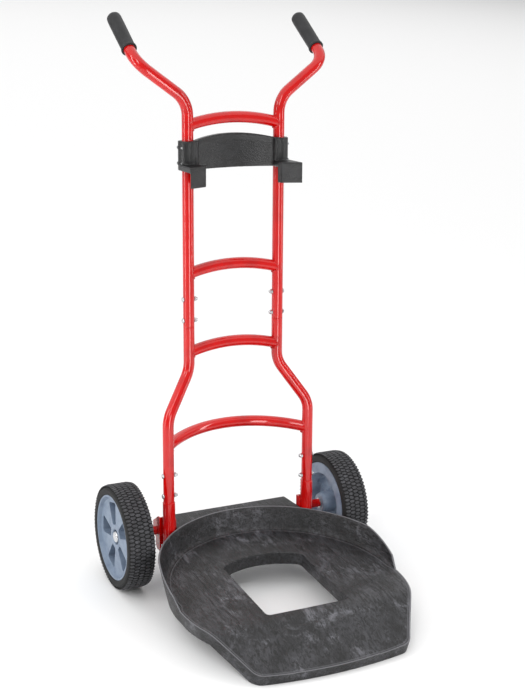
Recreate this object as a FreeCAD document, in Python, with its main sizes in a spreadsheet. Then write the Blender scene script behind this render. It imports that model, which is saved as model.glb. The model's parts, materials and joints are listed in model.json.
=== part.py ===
"""Hand truck for round containers: tubular steel frame, moulded tray and cradle, two wheels.

Millimetres, +Z up, +Y towards the handles, the tray's nose towards -Y.  The frame pieces are
drawn upright and then leaned back together.  The tray is drawn level, and the whole truck is
then tipped until the nose and both wheels stand on the floor, under the middle of its box.
"""
import FreeCAD, Part
import math
import os
import Sketcher

Vector = FreeCAD.Vector
X_AXIS = Vector(1, 0, 0)
Y_AXIS = Vector(0, 1, 0)
Z_AXIS = Vector(0, 0, 1)
SIDES = (("left", -1), ("right", 1))

# name, value, what it is
SIZES = [
    ("wheel_diameter", 240, "over the tread"),
    ("wheel_width", 63.6, "across the tyre"),
    ("wheel_track", 541.8, "between the middles of the two tyres"),
    ("rim_diameter", 194, "where the tyre meets the hub"),
    ("hub_barrel_diameter", 50, "moulded barrel round the bushes"),
    ("pocket_count", 5, "openings between the hub's spokes"),
    ("pocket_near", 28, "inner side of a pocket, from the axle"),
    ("pocket_far", 79, "outer side of a pocket, from the axle"),
    ("pocket_narrow", 19, "pocket's inner side"),
    ("pocket_wide", 43, "pocket's outer side"),
    ("axle_diameter", 12.7, "bright steel rod"),
    ("axle_back", 5, "axle behind the frame's plane at axle height"),
    ("axle_inner_end", 88, "inner end of each stub axle, from the middle"),
    ("running_gap", 0.08, "radial clearance of a turning or sliding fit"),
    ("seat_gap", 0.3, "clearance between neighbours that don't turn"),
    ("bush_wall", 2.4, "flanged nylon bush in each end of the hub"),
    ("tube_diameter", 25.4, "all red tube"),
    ("tube_wall", 1.6, "all red tube"),
    ("upper_spacing", 220.4, "between the upper uprights' axes"),
    ("lower_spacing", 352, "between the lower uprights' axes"),
    ("stub_diameter", 28.6, "stub tubes at the foot"),
    ("lower_forward", 32, "lower uprights ahead of the frame's plane"),
    ("frame_datum", 114.3, "height in the tray from which heights on the frame count"),
    ("frame_lean", 5.61, "degrees that the frame leans back"),
    ("stub_foot", -48, "lower end of the stub tubes"),
    ("joint_low", 75, "joint between the stub tubes and the lower frame"),
    ("joint_high", 468, "joint between the lower and the upper frame"),
    ("spigot_length", 74, "reduced end that slides into the tube above"),
    ("neck_height", 3, "visible reduced ring at each joint"),
    ("bolt_first", 16, "first cross bolt above a joint"),
    ("bolt_pitch", 48, "between the two cross bolts of a joint"),
    ("bolt_diameter", 6, "cross bolts, cradle screws"),
    ("bend_low_start", 271, "lower uprights start to converge"),
    ("bend_low_end", 370, "they reach the upper spacing"),
    ("bend_radius", 62, "centreline radius of the uprights' bends"),
    ("bar_fourth", 207, "lowest crossbar"),
    ("bar_third", 410, "crossbar under the upper joint"),
    ("bar_second", 589, "crossbar above the upper joint"),
    ("bar_top", 913.5, "crossbar under the handles"),
    ("bar_rise", 15, "arch of every crossbar"),
    ("upper_bar_bow", 6, "upper crossbars' bow to the rear"),
    ("lower_bar_bow", 69, "lowest crossbar's bow to the rear"),
    ("flare_start", 966, "uprights turn outwards to the handles"),
    ("handle_spacing", 449.2, "between the handles' corners"),
    ("handle_corner_height", 1049, "where the handles turn to the rear"),
    ("handle_corner_back", 8, "that corner behind the frame's plane"),
    ("handle_run", 155, "corner to the handle's end"),
    ("handle_rise", 35.4, "degrees that the handle climbs, seen in the frame"),
    ("handle_radius", 48, "centreline radius of the handle's bend"),
    ("grip_diameter", 32, "moulded rubber grip"),
    ("grip_length", 117, "moulded rubber grip"),
    ("cradle_low", 819, "underside of the cradle's panel and arms"),
    ("cradle_height", 62, "cradle's collars"),
    ("panel_arch", 13, "panel's top edge above the collars, at its middle"),
    ("panel_bow", 20, "panel's bow to the rear"),
    ("panel_thickness", 16, "panel"),
    ("collar_radius", 21, "cradle's collar round each upright"),
    ("arm_reach", 62, "middle of the arm's face, ahead of the uprights' axes"),
    ("arm_width", 47, "arm's face"),
    ("arm_thickness", 12, "level part of the arm"),
    ("pad_height", 45, "face that hangs from the arm's front"),
    ("pad_depth", 11, "that face's depth"),
    ("arm_turn", 22, "degrees that the arm's face turns inwards"),
    ("deck_height", 80, "tray's deck above the floor"),
    ("deck_depth", 30, "tray's skirt"),
    ("tray_wall", 4, "moulded wall"),
    ("tray_radius", 262, "foot of the curved wall, inside"),
    ("tray_lean", 10, "wall's growth in radius up to its top"),
    ("tray_centre", -273, "centre of the wall's foot, from the frame's plane"),
    ("wall_height", 50, "wall above the deck"),
    ("wall_fall", -190, "wall's top starts to fall"),
    ("wall_end", -303, "front end of the wall"),
    ("tray_tilt", 0.9, "degrees that the deck rises to the rear"),
    ("tray_side", 243, "half width where the ramp starts"),
    ("ramp_start", -403, "deck turns down to the nose"),
    ("ramp_end", -512, "ramp meets the nose's lip"),
    ("nose_side", 187, "half width at the nose, at the deck's height"),
    ("nose_corner", -518, "corners of the nose, at the deck's height"),
    ("nose_front", -538, "middle of the nose, at the deck's height"),
    ("nose_height", 18, "nose's front edge"),
    ("front_pad_rise", 5, "raised pad between the two ramps"),
    ("opening_half", 97.7, "half width of the deck's opening"),
    ("opening_front", -381, "front edge of the opening"),
    ("opening_back", -160, "rear corners of the opening"),
    ("opening_arch", 30, "arch of the opening's rear edge"),
    ("block_back", 34, "rear face of the tray's axle block"),
    ("block_half", 150, "half width of the block's rear face"),
    ("block_splay", 8, "block's growth in half width towards the wall"),
    ("bracket_plate", 3, "folded plate of the axle brackets"),
    ("bracket_top", 36, "top of the bracket"),
    ("bracket_step", -12, "where the bracket narrows to its leg"),
    ("bracket_foot", -45, "foot of the bracket's leg"),
    ("cheek_back", 22, "outer cheek's rear edge"),
    ("leg_back", 7, "leg's rear edge"),
    ("sleeve_diameter", 20, "red spacer sleeve on the axle"),
    ("cap_diameter", 26, "pressed cap on the axle's end"),
]

doc = FreeCAD.newDocument("HandTruck")
sheet = doc.addObject("Spreadsheet::Sheet", "sizes")
for row, (alias, value, note) in enumerate(SIZES, start=1):
    sheet.set(f"A{row}", alias)
    sheet.set(f"B{row}", str(value))
    sheet.setAlias(f"B{row}", alias)
    sheet.set(f"C{row}", note)
doc.recompute()


def size(alias):
    """A driving dimension, read from the sheet."""
    return float(getattr(sheet, alias))


# ---- sizes that follow from the driving ones -------------------------------------------------
TILT = math.radians(size("tray_tilt"))
WHEEL_R = size("wheel_diameter") / 2
AXLE_Y = size("axle_back")
NOSE_FOOT_Y = size("nose_front") + size("tray_lean") * size("deck_height") / size("wall_height")
AXLE_Z = (WHEEL_R - math.sin(TILT) * (AXLE_Y - NOSE_FOOT_Y)) / math.cos(TILT)
TUBE_R = size("tube_diameter") / 2
STUB_R = size("stub_diameter") / 2
BORE_R = TUBE_R - size("tube_wall")
SPIGOT_R = BORE_R - size("running_gap")
UPPER_X = size("upper_spacing") / 2
LOWER_X = size("lower_spacing") / 2
LOWER_Y = -size("lower_forward")
HUB_FACE_X = (size("wheel_track") - size("wheel_width")) / 2 - 7   # hub's inner end, from the middle
HUB_LENGTH = size("wheel_width") - 3.6
RECESS_DEPTH = 10          # round the axle's cap
WASHER_THICKNESS = 2
CAP_LENGTH = 9.5
BUSH_LENGTH = 20
RIB = 3                    # moulded ribs inside the tray
RIB_X = (-100, -35, 35, 100)
BOSS_R = 10.5              # socket of each stub axle
BLOCK_KNEE = -24           # y where the block's sides turn straight
TRAY_BOLT_HEIGHT = -28     # on the stub tubes
SCREW_SEAT = 8             # cradle screws' heads, behind the split
GAP = size("seat_gap")
AXLE_END_X = HUB_FACE_X + HUB_LENGTH - 1.5
CHEEK_X = LOWER_X + STUB_R + GAP + size("bracket_plate")   # outside of the outer cheek
DECK_Z = size("deck_height")
SKIRT_Z = DECK_Z - size("deck_depth")
WALL_TOP_Z = DECK_Z + size("wall_height")
BOLT_R = size("bolt_diameter") / 2
HOLE_R = BOLT_R + 0.2
SCREW_HEAD_R = BOLT_R * 1.5

truck_place = FreeCAD.Placement(Vector(0, 0, 0), FreeCAD.Rotation(X_AXIS, size("tray_tilt")))
lean_place = FreeCAD.Placement(Vector(0, 0, size("frame_datum")), FreeCAD.Rotation(X_AXIS, -size("frame_lean")))
frame_place = truck_place.multiply(lean_place)
pieces = []


def keep(obj, label, placement=None):
    """Registers one finished sub-part under its label, with its placement set last."""
    obj.Label = label
    if placement is not None:
        obj.Placement = placement
    pieces.append(obj)
    return obj


def keep_shape(label, shape, placement=truck_place):
    """A sub-part whose shape is made with Part's own functions."""
    obj = doc.addObject("Part::Feature", label)
    obj.Shape = shape
    return keep(obj, label, placement)


def origin_plane(body, role):
    """One of a body's own origin planes."""
    return next(item for item in body.Origin.OriginFeatures if item.Role == role)


def ring_body(label, outer, length, bore=None, start=None):
    """A body padded along X from a ring; outer, bore, length and start are sheet expressions."""
    body = doc.addObject("PartDesign::Body", label)
    sketch = body.newObject("Sketcher::SketchObject", label + "_ring")
    sketch.AttachmentSupport = [(origin_plane(body, "YZ_Plane"), "")]
    sketch.MapMode = "FlatFace"
    for expression in (outer, bore):
        if expression is None:
            continue
        index = sketch.addGeometry(Part.Circle(Vector(0, 0, 0), Z_AXIS, 10 - sketch.GeometryCount), False)
        sketch.addConstraint(Sketcher.Constraint("Coincident", index, 3, -1, 1))
        datum = sketch.addConstraint(Sketcher.Constraint("Diameter", index, 20 - 2 * index))
        sketch.setExpression(f"Constraints[{datum}]", expression)
    if start is not None:
        sketch.setExpression(".AttachmentOffset.Base.z", start)
    pad = body.newObject("PartDesign::Pad", label + "_pad")
    pad.Profile = sketch
    pad.setExpression("Length", length)
    body.Tip = pad
    return body


def bent_path(points, radii):
    """Straight runs through the points, joined by tangent arcs of the given radii."""
    edges = []
    start = points[0]
    for before, corner, after, radius in zip(points, points[1:], points[2:], radii):
        back = (before - corner).normalize()
        ahead = (after - corner).normalize()
        half = back.getAngle(ahead) / 2
        inset = radius / math.tan(half)
        middle = corner + (back + ahead).normalize() * (radius / math.sin(half) - radius)
        edges.append(Part.makeLine(start, corner + back * inset))
        edges.append(Part.Arc(corner + back * inset, middle, corner + ahead * inset).toShape())
        start = corner + ahead * inset
    edges.append(Part.makeLine(start, points[-1]))
    return Part.Wire(edges)


def swept_rod(path, radius):
    """A round rod along a path."""
    first = path.Edges[0]
    at = first.valueAt(first.FirstParameter)
    along = first.tangentAt(first.FirstParameter)
    section = Part.Wire(Part.makeCircle(radius, at, along))
    return path.makePipeShell([section], True, False)


def swept_tube(path):
    """The truck's tube along a path, open at both ends."""
    return swept_rod(path, TUBE_R).cut(swept_rod(path, BORE_R))


def cylinder(radius, length, at, along):
    return Part.makeCylinder(radius, length, at, along)


def cross_holes(x, y, joint):
    """The two bolt holes across an upright just above a joint."""
    holes = [cylinder(HOLE_R, 4 * TUBE_R, Vector(x - 2 * TUBE_R, y, height), X_AXIS)
             for height in bolt_heights(joint)]
    return holes[0].fuse(holes[1])


def bolt_heights(joint):
    first = size(joint) + size("bolt_first")
    return (first, first + size("bolt_pitch"))


def spigot(x, y, joint, tube_radius):
    """The reduced end above a joint: a short cone, the neck and the part that slides in."""
    base = size(joint)
    wall = size("tube_wall")
    neck = size("neck_height")
    cone = Part.makeCone(tube_radius, SPIGOT_R, neck / 2, Vector(x, y, base), Z_AXIS)
    stem = cylinder(SPIGOT_R, size("spigot_length"), Vector(x, y, base + neck / 2), Z_AXIS)
    bore = cylinder(SPIGOT_R - wall, size("spigot_length") + neck, Vector(x, y, base), Z_AXIS)
    return cone.fuse(stem).cut(bore)


# ---- frame -----------------------------------------------------------------------------------
def handle_points(side):
    """The handle's corner and end, in the frame's own coordinates."""
    corner = Vector(side * size("handle_spacing") / 2, size("handle_corner_back"), size("handle_corner_height"))
    climb = math.radians(size("handle_rise"))
    along = Vector(0, math.cos(climb), math.sin(climb))
    return corner, corner + along * size("handle_run"), along


def upper_tube(name, side):
    x = side * UPPER_X
    corner, end, along = handle_points(side)
    start = Vector(x, 0, size("joint_high") + size("neck_height"))
    path = bent_path([start, Vector(x, 0, size("flare_start")), corner, end],
                     [size("bend_radius"), size("handle_radius")])
    holes = cross_holes(x, 0, "joint_high")
    keep_shape(f"upper_tube_{name}", swept_tube(path).cut(holes), frame_place)


def lower_tube(name, side):
    inner = side * UPPER_X
    outer = side * LOWER_X
    path = bent_path([Vector(outer, LOWER_Y, size("joint_low") + size("neck_height")),
                      Vector(outer, LOWER_Y, size("bend_low_start")),
                      Vector(inner, 0, size("bend_low_end")),
                      Vector(inner, 0, size("joint_high"))],
                     [size("bend_radius"), size("bend_radius")])
    tube = swept_tube(path).fuse(spigot(inner, 0, "joint_high", TUBE_R))
    tube = tube.cut(cross_holes(outer, LOWER_Y, "joint_low")).cut(cross_holes(inner, 0, "joint_high"))
    keep_shape(f"lower_tube_{name}", tube.removeSplitter(), frame_place)


def stub_tube(name, side):
    """The wider tube at the foot, with the reduced end that the lower frame slides over."""
    x = side * LOWER_X
    foot = size("stub_foot")
    height = size("joint_low") - foot
    tube = cylinder(STUB_R, height, Vector(x, LOWER_Y, foot), Z_AXIS)
    tube = tube.cut(cylinder(SPIGOT_R - size("tube_wall"), height, Vector(x, LOWER_Y, foot), Z_AXIS))
    tube = tube.fuse(spigot(x, LOWER_Y, "joint_low", STUB_R)).cut(cross_holes(x, LOWER_Y, "joint_low"))
    tube = tube.cut(cylinder(HOLE_R, 4 * STUB_R, Vector(x - 2 * STUB_R, LOWER_Y, TRAY_BOLT_HEIGHT), X_AXIS))
    keep_shape(f"stub_tube_{name}", tube.removeSplitter(), frame_place)


def crossbar(label, half, y, height, bow):
    """A bar arched up and to the rear, coped to the two uprights that it is welded to."""
    ends = (Vector(-half, y, height), Vector(half, y, height))
    middle = Vector(0, y + bow, height + size("bar_rise"))
    bar = swept_tube(Part.Wire(Part.Arc(ends[0], middle, ends[1]).toShape()))
    for end in ends:
        bar = bar.cut(cylinder(TUBE_R, 8 * TUBE_R, end - Z_AXIS * 4 * TUBE_R, Z_AXIS))
    keep_shape(label, max(bar.Solids, key=lambda solid: solid.Volume), frame_place)


def grip(name, side):
    """A closed rubber grip pushed over the handle's end."""
    corner, end, along = handle_points(side)
    wall = size("grip_diameter") / 2 - TUBE_R
    length = size("grip_length")
    start = end + along * (wall - length)
    outer = cylinder(size("grip_diameter") / 2, length, start, along)
    tip = [edge for edge in outer.Edges if edge.Curve.TypeId == "Part::GeomCircle"
           and (edge.Curve.Center - start).Length > length / 2]
    outer = outer.makeFillet(wall + 2, tip)
    sleeve = outer.cut(cylinder(TUBE_R + size("running_gap"), length - wall, start, along))
    keep_shape(f"grip_{name}", sleeve, frame_place)


# ---- frame fasteners -------------------------------------------------------------------------
def hexagon(radius, at, along, length):
    """A hexagonal prism along X or Y, its corners on a circle of the given radius."""
    across = Z_AXIS
    sideways = along.cross(across)
    corners = [at + across * (radius * math.cos(step * math.pi / 3))
               + sideways * (radius * math.sin(step * math.pi / 3)) for step in range(7)]
    return Part.Face(Part.makePolygon(corners)).extrude(along * length)


def bolt_across(x, y, height, side, reach):
    """A domed bolt along X with its head on the outside; reach is from the head to its tip."""
    outwards = X_AXIS * side
    seat = Vector(x + side * (TUBE_R + size("seat_gap")), y, height)
    head = cylinder(BOLT_R * 1.9, 3.2, seat, outwards)
    head = head.makeFillet(2.2, [edge for edge in head.Edges if edge.Curve.TypeId == "Part::GeomCircle"
                                 and abs(edge.Curve.Center.x - seat.x) > 1])
    return head.fuse(cylinder(BOLT_R, reach, seat, -outwards))


def acorn_nut(x, y, height, side):
    """A hexagonal nut with a domed cap on the inner side of an upright."""
    inwards = X_AXIS * -side
    seat = Vector(x - side * (TUBE_R + size("seat_gap")), y, height)
    body = hexagon(BOLT_R * 1.85, seat, inwards, 4.5)
    dome = Part.makeSphere(BOLT_R * 1.45, seat + inwards * 4.5)
    dome = dome.common(cylinder(BOLT_R * 2, 10, seat + inwards * 4, inwards))
    bore = cylinder(BOLT_R + size("running_gap"), 6, seat, inwards)
    return body.fuse(dome).cut(bore)


def joint_fasteners(label, joint, x, y):
    bolts = []
    nuts = []
    for _, side in SIDES:
        for height in bolt_heights(joint):
            bolts.append(bolt_across(side * x, y, height, side, 2 * TUBE_R + 5))
            nuts.append(acorn_nut(side * x, y, height, side))
    keep_shape(f"{label}_bolts", Part.Compound(bolts), frame_place)
    keep_shape(f"{label}_nuts", Part.Compound(nuts), frame_place)


# ---- cradle ----------------------------------------------------------------------------------
def arc_wall(half, near, far_offset, bow, low, high):
    """A wall of constant thickness that bows to the rear between x = -half and x = half."""
    front = Part.Arc(Vector(-half, near, low), Vector(0, near + bow, low), Vector(half, near, low))
    back = Part.Arc(Vector(half, near + far_offset, low), Vector(0, near + far_offset + bow, low),
                    Vector(-half, near + far_offset, low))
    ends = (Part.makeLine(Vector(half, near, low), Vector(half, near + far_offset, low)),
            Part.makeLine(Vector(-half, near + far_offset, low), Vector(-half, near, low)))
    outline = Part.Wire([front.toShape(), ends[0], back.toShape(), ends[1]])
    return Part.Face(outline).extrude(Z_AXIS * (high - low))


def cradle_panel():
    low = size("cradle_low")
    side_high = low + size("cradle_height")
    top = side_high + size("panel_arch")
    half = UPPER_X
    thickness = size("panel_thickness")
    panel = arc_wall(half, -thickness, thickness, size("panel_bow"), low, top)
    over = Part.Arc(Vector(-half, -100, side_high), Vector(0, -100, top), Vector(half, -100, side_high))
    roof = Part.Wire([over.toShape(), Part.makeLine(Vector(half, -100, side_high), Vector(half, -100, low)),
                      Part.makeLine(Vector(half, -100, low), Vector(-half, -100, low)),
                      Part.makeLine(Vector(-half, -100, low), Vector(-half, -100, side_high))])
    return panel.common(Part.Face(roof).extrude(Y_AXIS * 200))


def flat_prism(corners, low, high):
    """A prism over a polygon of (x, y) corners."""
    points = [Vector(x, y, low) for x, y in corners]
    return Part.Face(Part.makePolygon(points + points[:1])).extrude(Z_AXIS * (high - low))


def cradle_arm(side):
    """A level arm ahead of a collar, with a face that hangs from its front and turns inwards."""
    turn = math.radians(size("arm_turn"))
    half = size("arm_width") / 2
    across = (math.cos(turn), side * -math.sin(turn))
    inwards = (across[1] * side, -across[0] * side)
    depth = size("pad_depth")
    middle = (side * (UPPER_X + 2), -size("arm_reach"))
    outer = (middle[0] + side * half * across[0], middle[1] + side * half * across[1])
    inner = (middle[0] - side * half * across[0], middle[1] - side * half * across[1])
    rear = (side * depth * inwards[0], -side * depth * inwards[1])
    behind = [(outer[0] - side * depth * math.sin(turn), outer[1] + depth * math.cos(turn)),
              (inner[0] - side * depth * math.sin(turn), inner[1] + depth * math.cos(turn))]
    top = size("cradle_low") + size("arm_thickness")
    arm = flat_prism([outer, inner, (inner[0], 0), (outer[0], 0)], size("cradle_low"), top)
    pad = flat_prism([outer, inner, behind[1], behind[0]], top - size("pad_height"), top)
    return arm.fuse(pad)


def cradle():
    low = size("cradle_low")
    height = size("cradle_height")
    body = cradle_panel()
    for _, side in SIDES:
        collar = cylinder(size("collar_radius"), height, Vector(side * UPPER_X, 0, low), Z_AXIS)
        body = body.fuse(collar).fuse(cradle_arm(side))
    reach = UPPER_X - size("collar_radius")
    outside = [Part.makeBox(300, 100, 300, Vector(start, -GAP / 2, low - 60)) for start in (reach, -reach - 300)]
    body = body.cut(outside[0]).cut(outside[1])
    for _, side in SIDES:
        body = body.cut(cylinder(TUBE_R + size("running_gap"), 4 * height,
                                 Vector(side * UPPER_X, 0, low - height), Z_AXIS))
        for screw in cradle_screw_points(side):
            body = body.cut(cylinder(HOLE_R, 13, screw - Y_AXIS * 13, Y_AXIS))
    keep_shape("cradle", body.removeSplitter(), frame_place)


def cradle_screw_points(side):
    """Where the two screws of a clamp cross the split face."""
    x = side * (UPPER_X + TUBE_R + BOLT_R + 1)
    middle = size("cradle_low") + size("cradle_height") / 2
    return [Vector(x, 0, middle + step) for step in (-17, 17)]


def cradle_clamp(name, side):
    """The rear half of a collar, screwed to the cradle from behind."""
    x = side * UPPER_X
    low = size("cradle_low")
    height = size("cradle_height")
    radius = size("collar_radius")
    half = cylinder(radius, height, Vector(x, 0, low), Z_AXIS)
    half = half.common(Part.makeBox(4 * radius, radius, height, Vector(x - 2 * radius, GAP / 2, low)))
    half = half.cut(cylinder(TUBE_R + size("running_gap"), height, Vector(x, 0, low), Z_AXIS))
    inner_edge = UPPER_X - radius - GAP
    panel = Part.makeBox(2 * inner_edge + 6 * GAP, 100, height, Vector(-inner_edge - 3 * GAP, -50, low))
    grown = arc_wall(UPPER_X, -size("panel_thickness"), size("panel_thickness") + GAP, size("panel_bow"),
                     low, low + height)
    half = half.cut(panel).cut(grown)
    for screw in cradle_screw_points(side):
        half = half.cut(cylinder(HOLE_R, 20, screw, Y_AXIS))
        half = half.cut(cylinder(SCREW_HEAD_R + GAP, 20, screw + Y_AXIS * (SCREW_SEAT - GAP), Y_AXIS))
    keep_shape(f"cradle_clamp_{name}", half, frame_place)


def cradle_screws():
    screws = []
    for _, side in SIDES:
        for point in cradle_screw_points(side):
            head = cylinder(SCREW_HEAD_R, 3, point + Y_AXIS * SCREW_SEAT, Y_AXIS)
            shank = cylinder(BOLT_R, SCREW_SEAT + 12, point - Y_AXIS * 12, Y_AXIS)
            screws.append(head.fuse(shank))
    keep_shape("cradle_screws", Part.Compound(screws), frame_place)


# ---- tray ------------------------------------------------------------------------------------
def disc_between(low_radius, low_centre, low_z, high_radius, high_centre, high_z):
    """A slanted cone frustum between two level circles."""
    rings = [Part.Wire(Part.makeCircle(radius, Vector(0, centre, z), Z_AXIS))
             for radius, centre, z in ((low_radius, low_centre, low_z), (high_radius, high_centre, high_z))]
    return Part.makeLoft(rings, True, True)


def wall_cone(growth):
    """The space inside the curved wall, grown by the given amount, from the floor to above the wall."""
    lean = size("tray_lean")
    rise = size("wall_height")
    share = DECK_Z / rise
    radius = size("tray_radius") + growth
    centre = size("tray_centre")
    return disc_between(radius - lean * share, centre - lean * share, 0,
                        radius + 1.2 * lean, centre + 1.2 * lean, DECK_Z + 1.2 * rise)


def tray_plan(inset, z):
    """The tray's plan at a height, drawn in by an inset: round at the back, narrow at the nose."""
    inset = inset + size("tray_lean") * (DECK_Z - z) / size("wall_height")
    radius = size("tray_radius") + size("tray_wall") - inset
    centre = size("tray_centre")
    turn = math.sqrt(radius ** 2 - (size("wall_end") - centre) ** 2)
    side = size("tray_side") - inset
    nose = size("nose_side") - inset
    corner = size("nose_corner") + inset
    belly = (turn + side) / 2 + 6
    belly_y = (size("wall_end") + size("ramp_start")) / 2
    edges = [Part.Arc(Vector(-turn, size("wall_end"), z), Vector(0, centre + radius, z),
                      Vector(turn, size("wall_end"), z)).toShape(),
             Part.Arc(Vector(turn, size("wall_end"), z), Vector(belly, belly_y, z),
                      Vector(side, size("ramp_start"), z)).toShape(),
             Part.makeLine(Vector(side, size("ramp_start"), z), Vector(nose, corner, z)),
             Part.Arc(Vector(nose, corner, z), Vector(0, size("nose_front") + inset, z),
                      Vector(-nose, corner, z)).toShape(),
             Part.makeLine(Vector(-nose, corner, z), Vector(-side, size("ramp_start"), z)),
             Part.Arc(Vector(-side, size("ramp_start"), z), Vector(-belly, belly_y, z),
                      Vector(-turn, size("wall_end"), z)).toShape()]
    return Part.Wire(edges)


def tray_outline(inset):
    """The space inside the tray's leaning outline, from the floor to above the deck."""
    return Part.makeLoft([tray_plan(inset, 0), tray_plan(inset, DECK_Z + 20)], True, True)


def side_profile(half, rise, top_cut, bottom_lift):
    """The deck seen from the side, level and then a ramp to the nose, extruded across the tray."""
    front = size("nose_front") - 5
    back = 60
    start = size("ramp_start") - 4 * rise
    slope_end = size("ramp_end")
    nose_z = size("nose_height") + rise
    slope = (DECK_Z - size("nose_height")) / (size("ramp_start") - slope_end)
    under_end = size("ramp_start") - SKIRT_Z / slope
    points = [(back, DECK_Z - top_cut), (start, DECK_Z - top_cut), (slope_end, nose_z - top_cut),
              (front, nose_z - top_cut), (front, bottom_lift), (under_end, bottom_lift),
              (size("ramp_start"), SKIRT_Z + bottom_lift), (back, SKIRT_Z + bottom_lift)]
    corners = [Vector(-half, y, z) for y, z in points]
    return Part.Face(Part.makePolygon(corners + corners[:1])).extrude(X_AXIS * 2 * half)


def tray_opening(grow, low, high):
    """The deck's opening, grown by the given amount, with an arched rear edge and round corners."""
    half = size("opening_half") + grow
    front = size("opening_front") - grow
    back = size("opening_back") + grow
    edges = [Part.Arc(Vector(-half, back, low), Vector(0, back + size("opening_arch"), low),
                      Vector(half, back, low)).toShape(),
             Part.makeLine(Vector(half, back, low), Vector(half, front, low)),
             Part.makeLine(Vector(half, front, low), Vector(-half, front, low)),
             Part.makeLine(Vector(-half, front, low), Vector(-half, back, low))]
    block = Part.Face(Part.Wire(edges)).extrude(Z_AXIS * (high - low))
    uprights = [edge for edge in block.Edges if edge.BoundBox.ZLength > (high - low) / 2
                and edge.BoundBox.XLength < 1]
    return block.makeFillet(9 + grow, uprights)


def wall_side_cut():
    """What is taken off the wall's top towards its front ends, seen from the side."""
    fall = size("wall_fall")
    end = size("wall_end")
    top = WALL_TOP_Z + 20
    curve = Part.Arc(Vector(-400, fall, WALL_TOP_Z), Vector(-400, (fall + end) / 2, WALL_TOP_Z - 14),
                     Vector(-400, end + 22, WALL_TOP_Z - 28))
    drop = [Vector(-400, end + 22, WALL_TOP_Z - 28), Vector(-400, end, DECK_Z), Vector(-400, end - 400, DECK_Z),
            Vector(-400, end - 400, top), Vector(-400, fall, top), Vector(-400, fall, WALL_TOP_Z)]
    outline = Part.Wire([curve.toShape()] + Part.makePolygon(drop).Edges)
    return Part.Face(outline).extrude(X_AXIS * 800)


def axle_block(inset, low, high):
    """The hollow box behind the wall that carries the axle, drawn in by an inset."""
    back = size("block_back") - inset
    rear_half = size("block_half") - inset
    front_half = rear_half + size("block_splay")
    front = size("tray_centre")
    corners = [Vector(-rear_half, back, low), Vector(rear_half, back, low), Vector(front_half, BLOCK_KNEE, low),
               Vector(front_half, front, low), Vector(-front_half, front, low),
               Vector(-front_half, BLOCK_KNEE, low)]
    return Part.Face(Part.makePolygon(corners + corners[:1])).extrude(Z_AXIS * (high - low))


def underside_ribs(hollow):
    """What is hollowed out under the deck, less the ribs that stay."""
    for x in (-165, -55, 55, 165):
        hollow = hollow.cut(Part.makeBox(RIB, 600, 200, Vector(x - RIB / 2, -600, 0)))
    for y in (-430, -340, -240, -110):
        hollow = hollow.cut(Part.makeBox(600, RIB, 200, Vector(-300, y - RIB / 2, 0)))
    return hollow


def tray_deck():
    """The deck with its ramp, raised front pad, skirt, ribs and opening."""
    wall = size("tray_wall")
    wide = 400
    outside = tray_outline(0)
    plate = outside.common(side_profile(wide, 0, 0, 0))
    pad = outside.common(side_profile(size("opening_half"), size("front_pad_rise"), 0, 0))
    hollow = tray_outline(wall).common(side_profile(wide, 0, wall, -1))
    hollow = underside_ribs(hollow.cut(tray_opening(wall, 0, 200)))
    return plate.fuse(pad).cut(hollow).cut(tray_opening(0, 0, 200))


def tray_back():
    """The curved wall and the hollow block behind it that holds the axles."""
    wall = size("tray_wall")
    behind_end = Part.makeBox(800, 400, WALL_TOP_Z - SKIRT_Z, Vector(-400, size("wall_end"), SKIRT_Z))
    rim = wall_cone(wall).common(behind_end)
    cavity = axle_block(wall, 0, WALL_TOP_Z - wall).cut(wall_cone(2 * wall))
    for x in RIB_X:
        cavity = cavity.cut(Part.makeBox(RIB, 200, 200, Vector(x - RIB / 2, -150, 0)))
    for _, side in SIDES:
        start = side * size("axle_inner_end")
        length = size("block_half") - size("axle_inner_end")
        cavity = cavity.cut(cylinder(BOSS_R, length, Vector(start, AXLE_Y, AXLE_Z), X_AXIS * side))
    solid = rim.fuse(axle_block(0, SKIRT_Z, WALL_TOP_Z)).cut(cavity)
    return solid.cut(wall_side_cut()).cut(wall_cone(0))


def tray():
    inside = wall_cone(0).fuse(Part.makeBox(800, 300, 200, Vector(-400, size("wall_end") - 300, 0)))
    body = tray_deck().common(inside).fuse(tray_back())
    for _, side in SIDES:
        hole = cylinder(size("axle_diameter") / 2 + size("running_gap"), 200,
                        Vector(side * size("axle_inner_end"), AXLE_Y, AXLE_Z), X_AXIS * side)
        body = body.cut(hole)
    for bolt in tray_bolt_points():
        body = body.cut(cylinder(HOLE_R, 80, bolt - X_AXIS * 40, X_AXIS))
    solid = max(body.removeSplitter().Solids, key=lambda item: item.Volume)
    keep_shape("tray", solid)


def block_side_x(y):
    """Half width of the block's outside at a given y."""
    along = (size("block_back") - y) / (size("block_back") - BLOCK_KNEE)
    return size("block_half") + size("block_splay") * min(1, along)


def tray_bolt_points():
    """Where the bolt through each stub tube crosses the outside of the block's side wall."""
    at = lean_place.multVec(Vector(0, LOWER_Y, TRAY_BOLT_HEIGHT))
    return [Vector(side * block_side_x(at.y), at.y, at.z) for _, side in SIDES]


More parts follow.
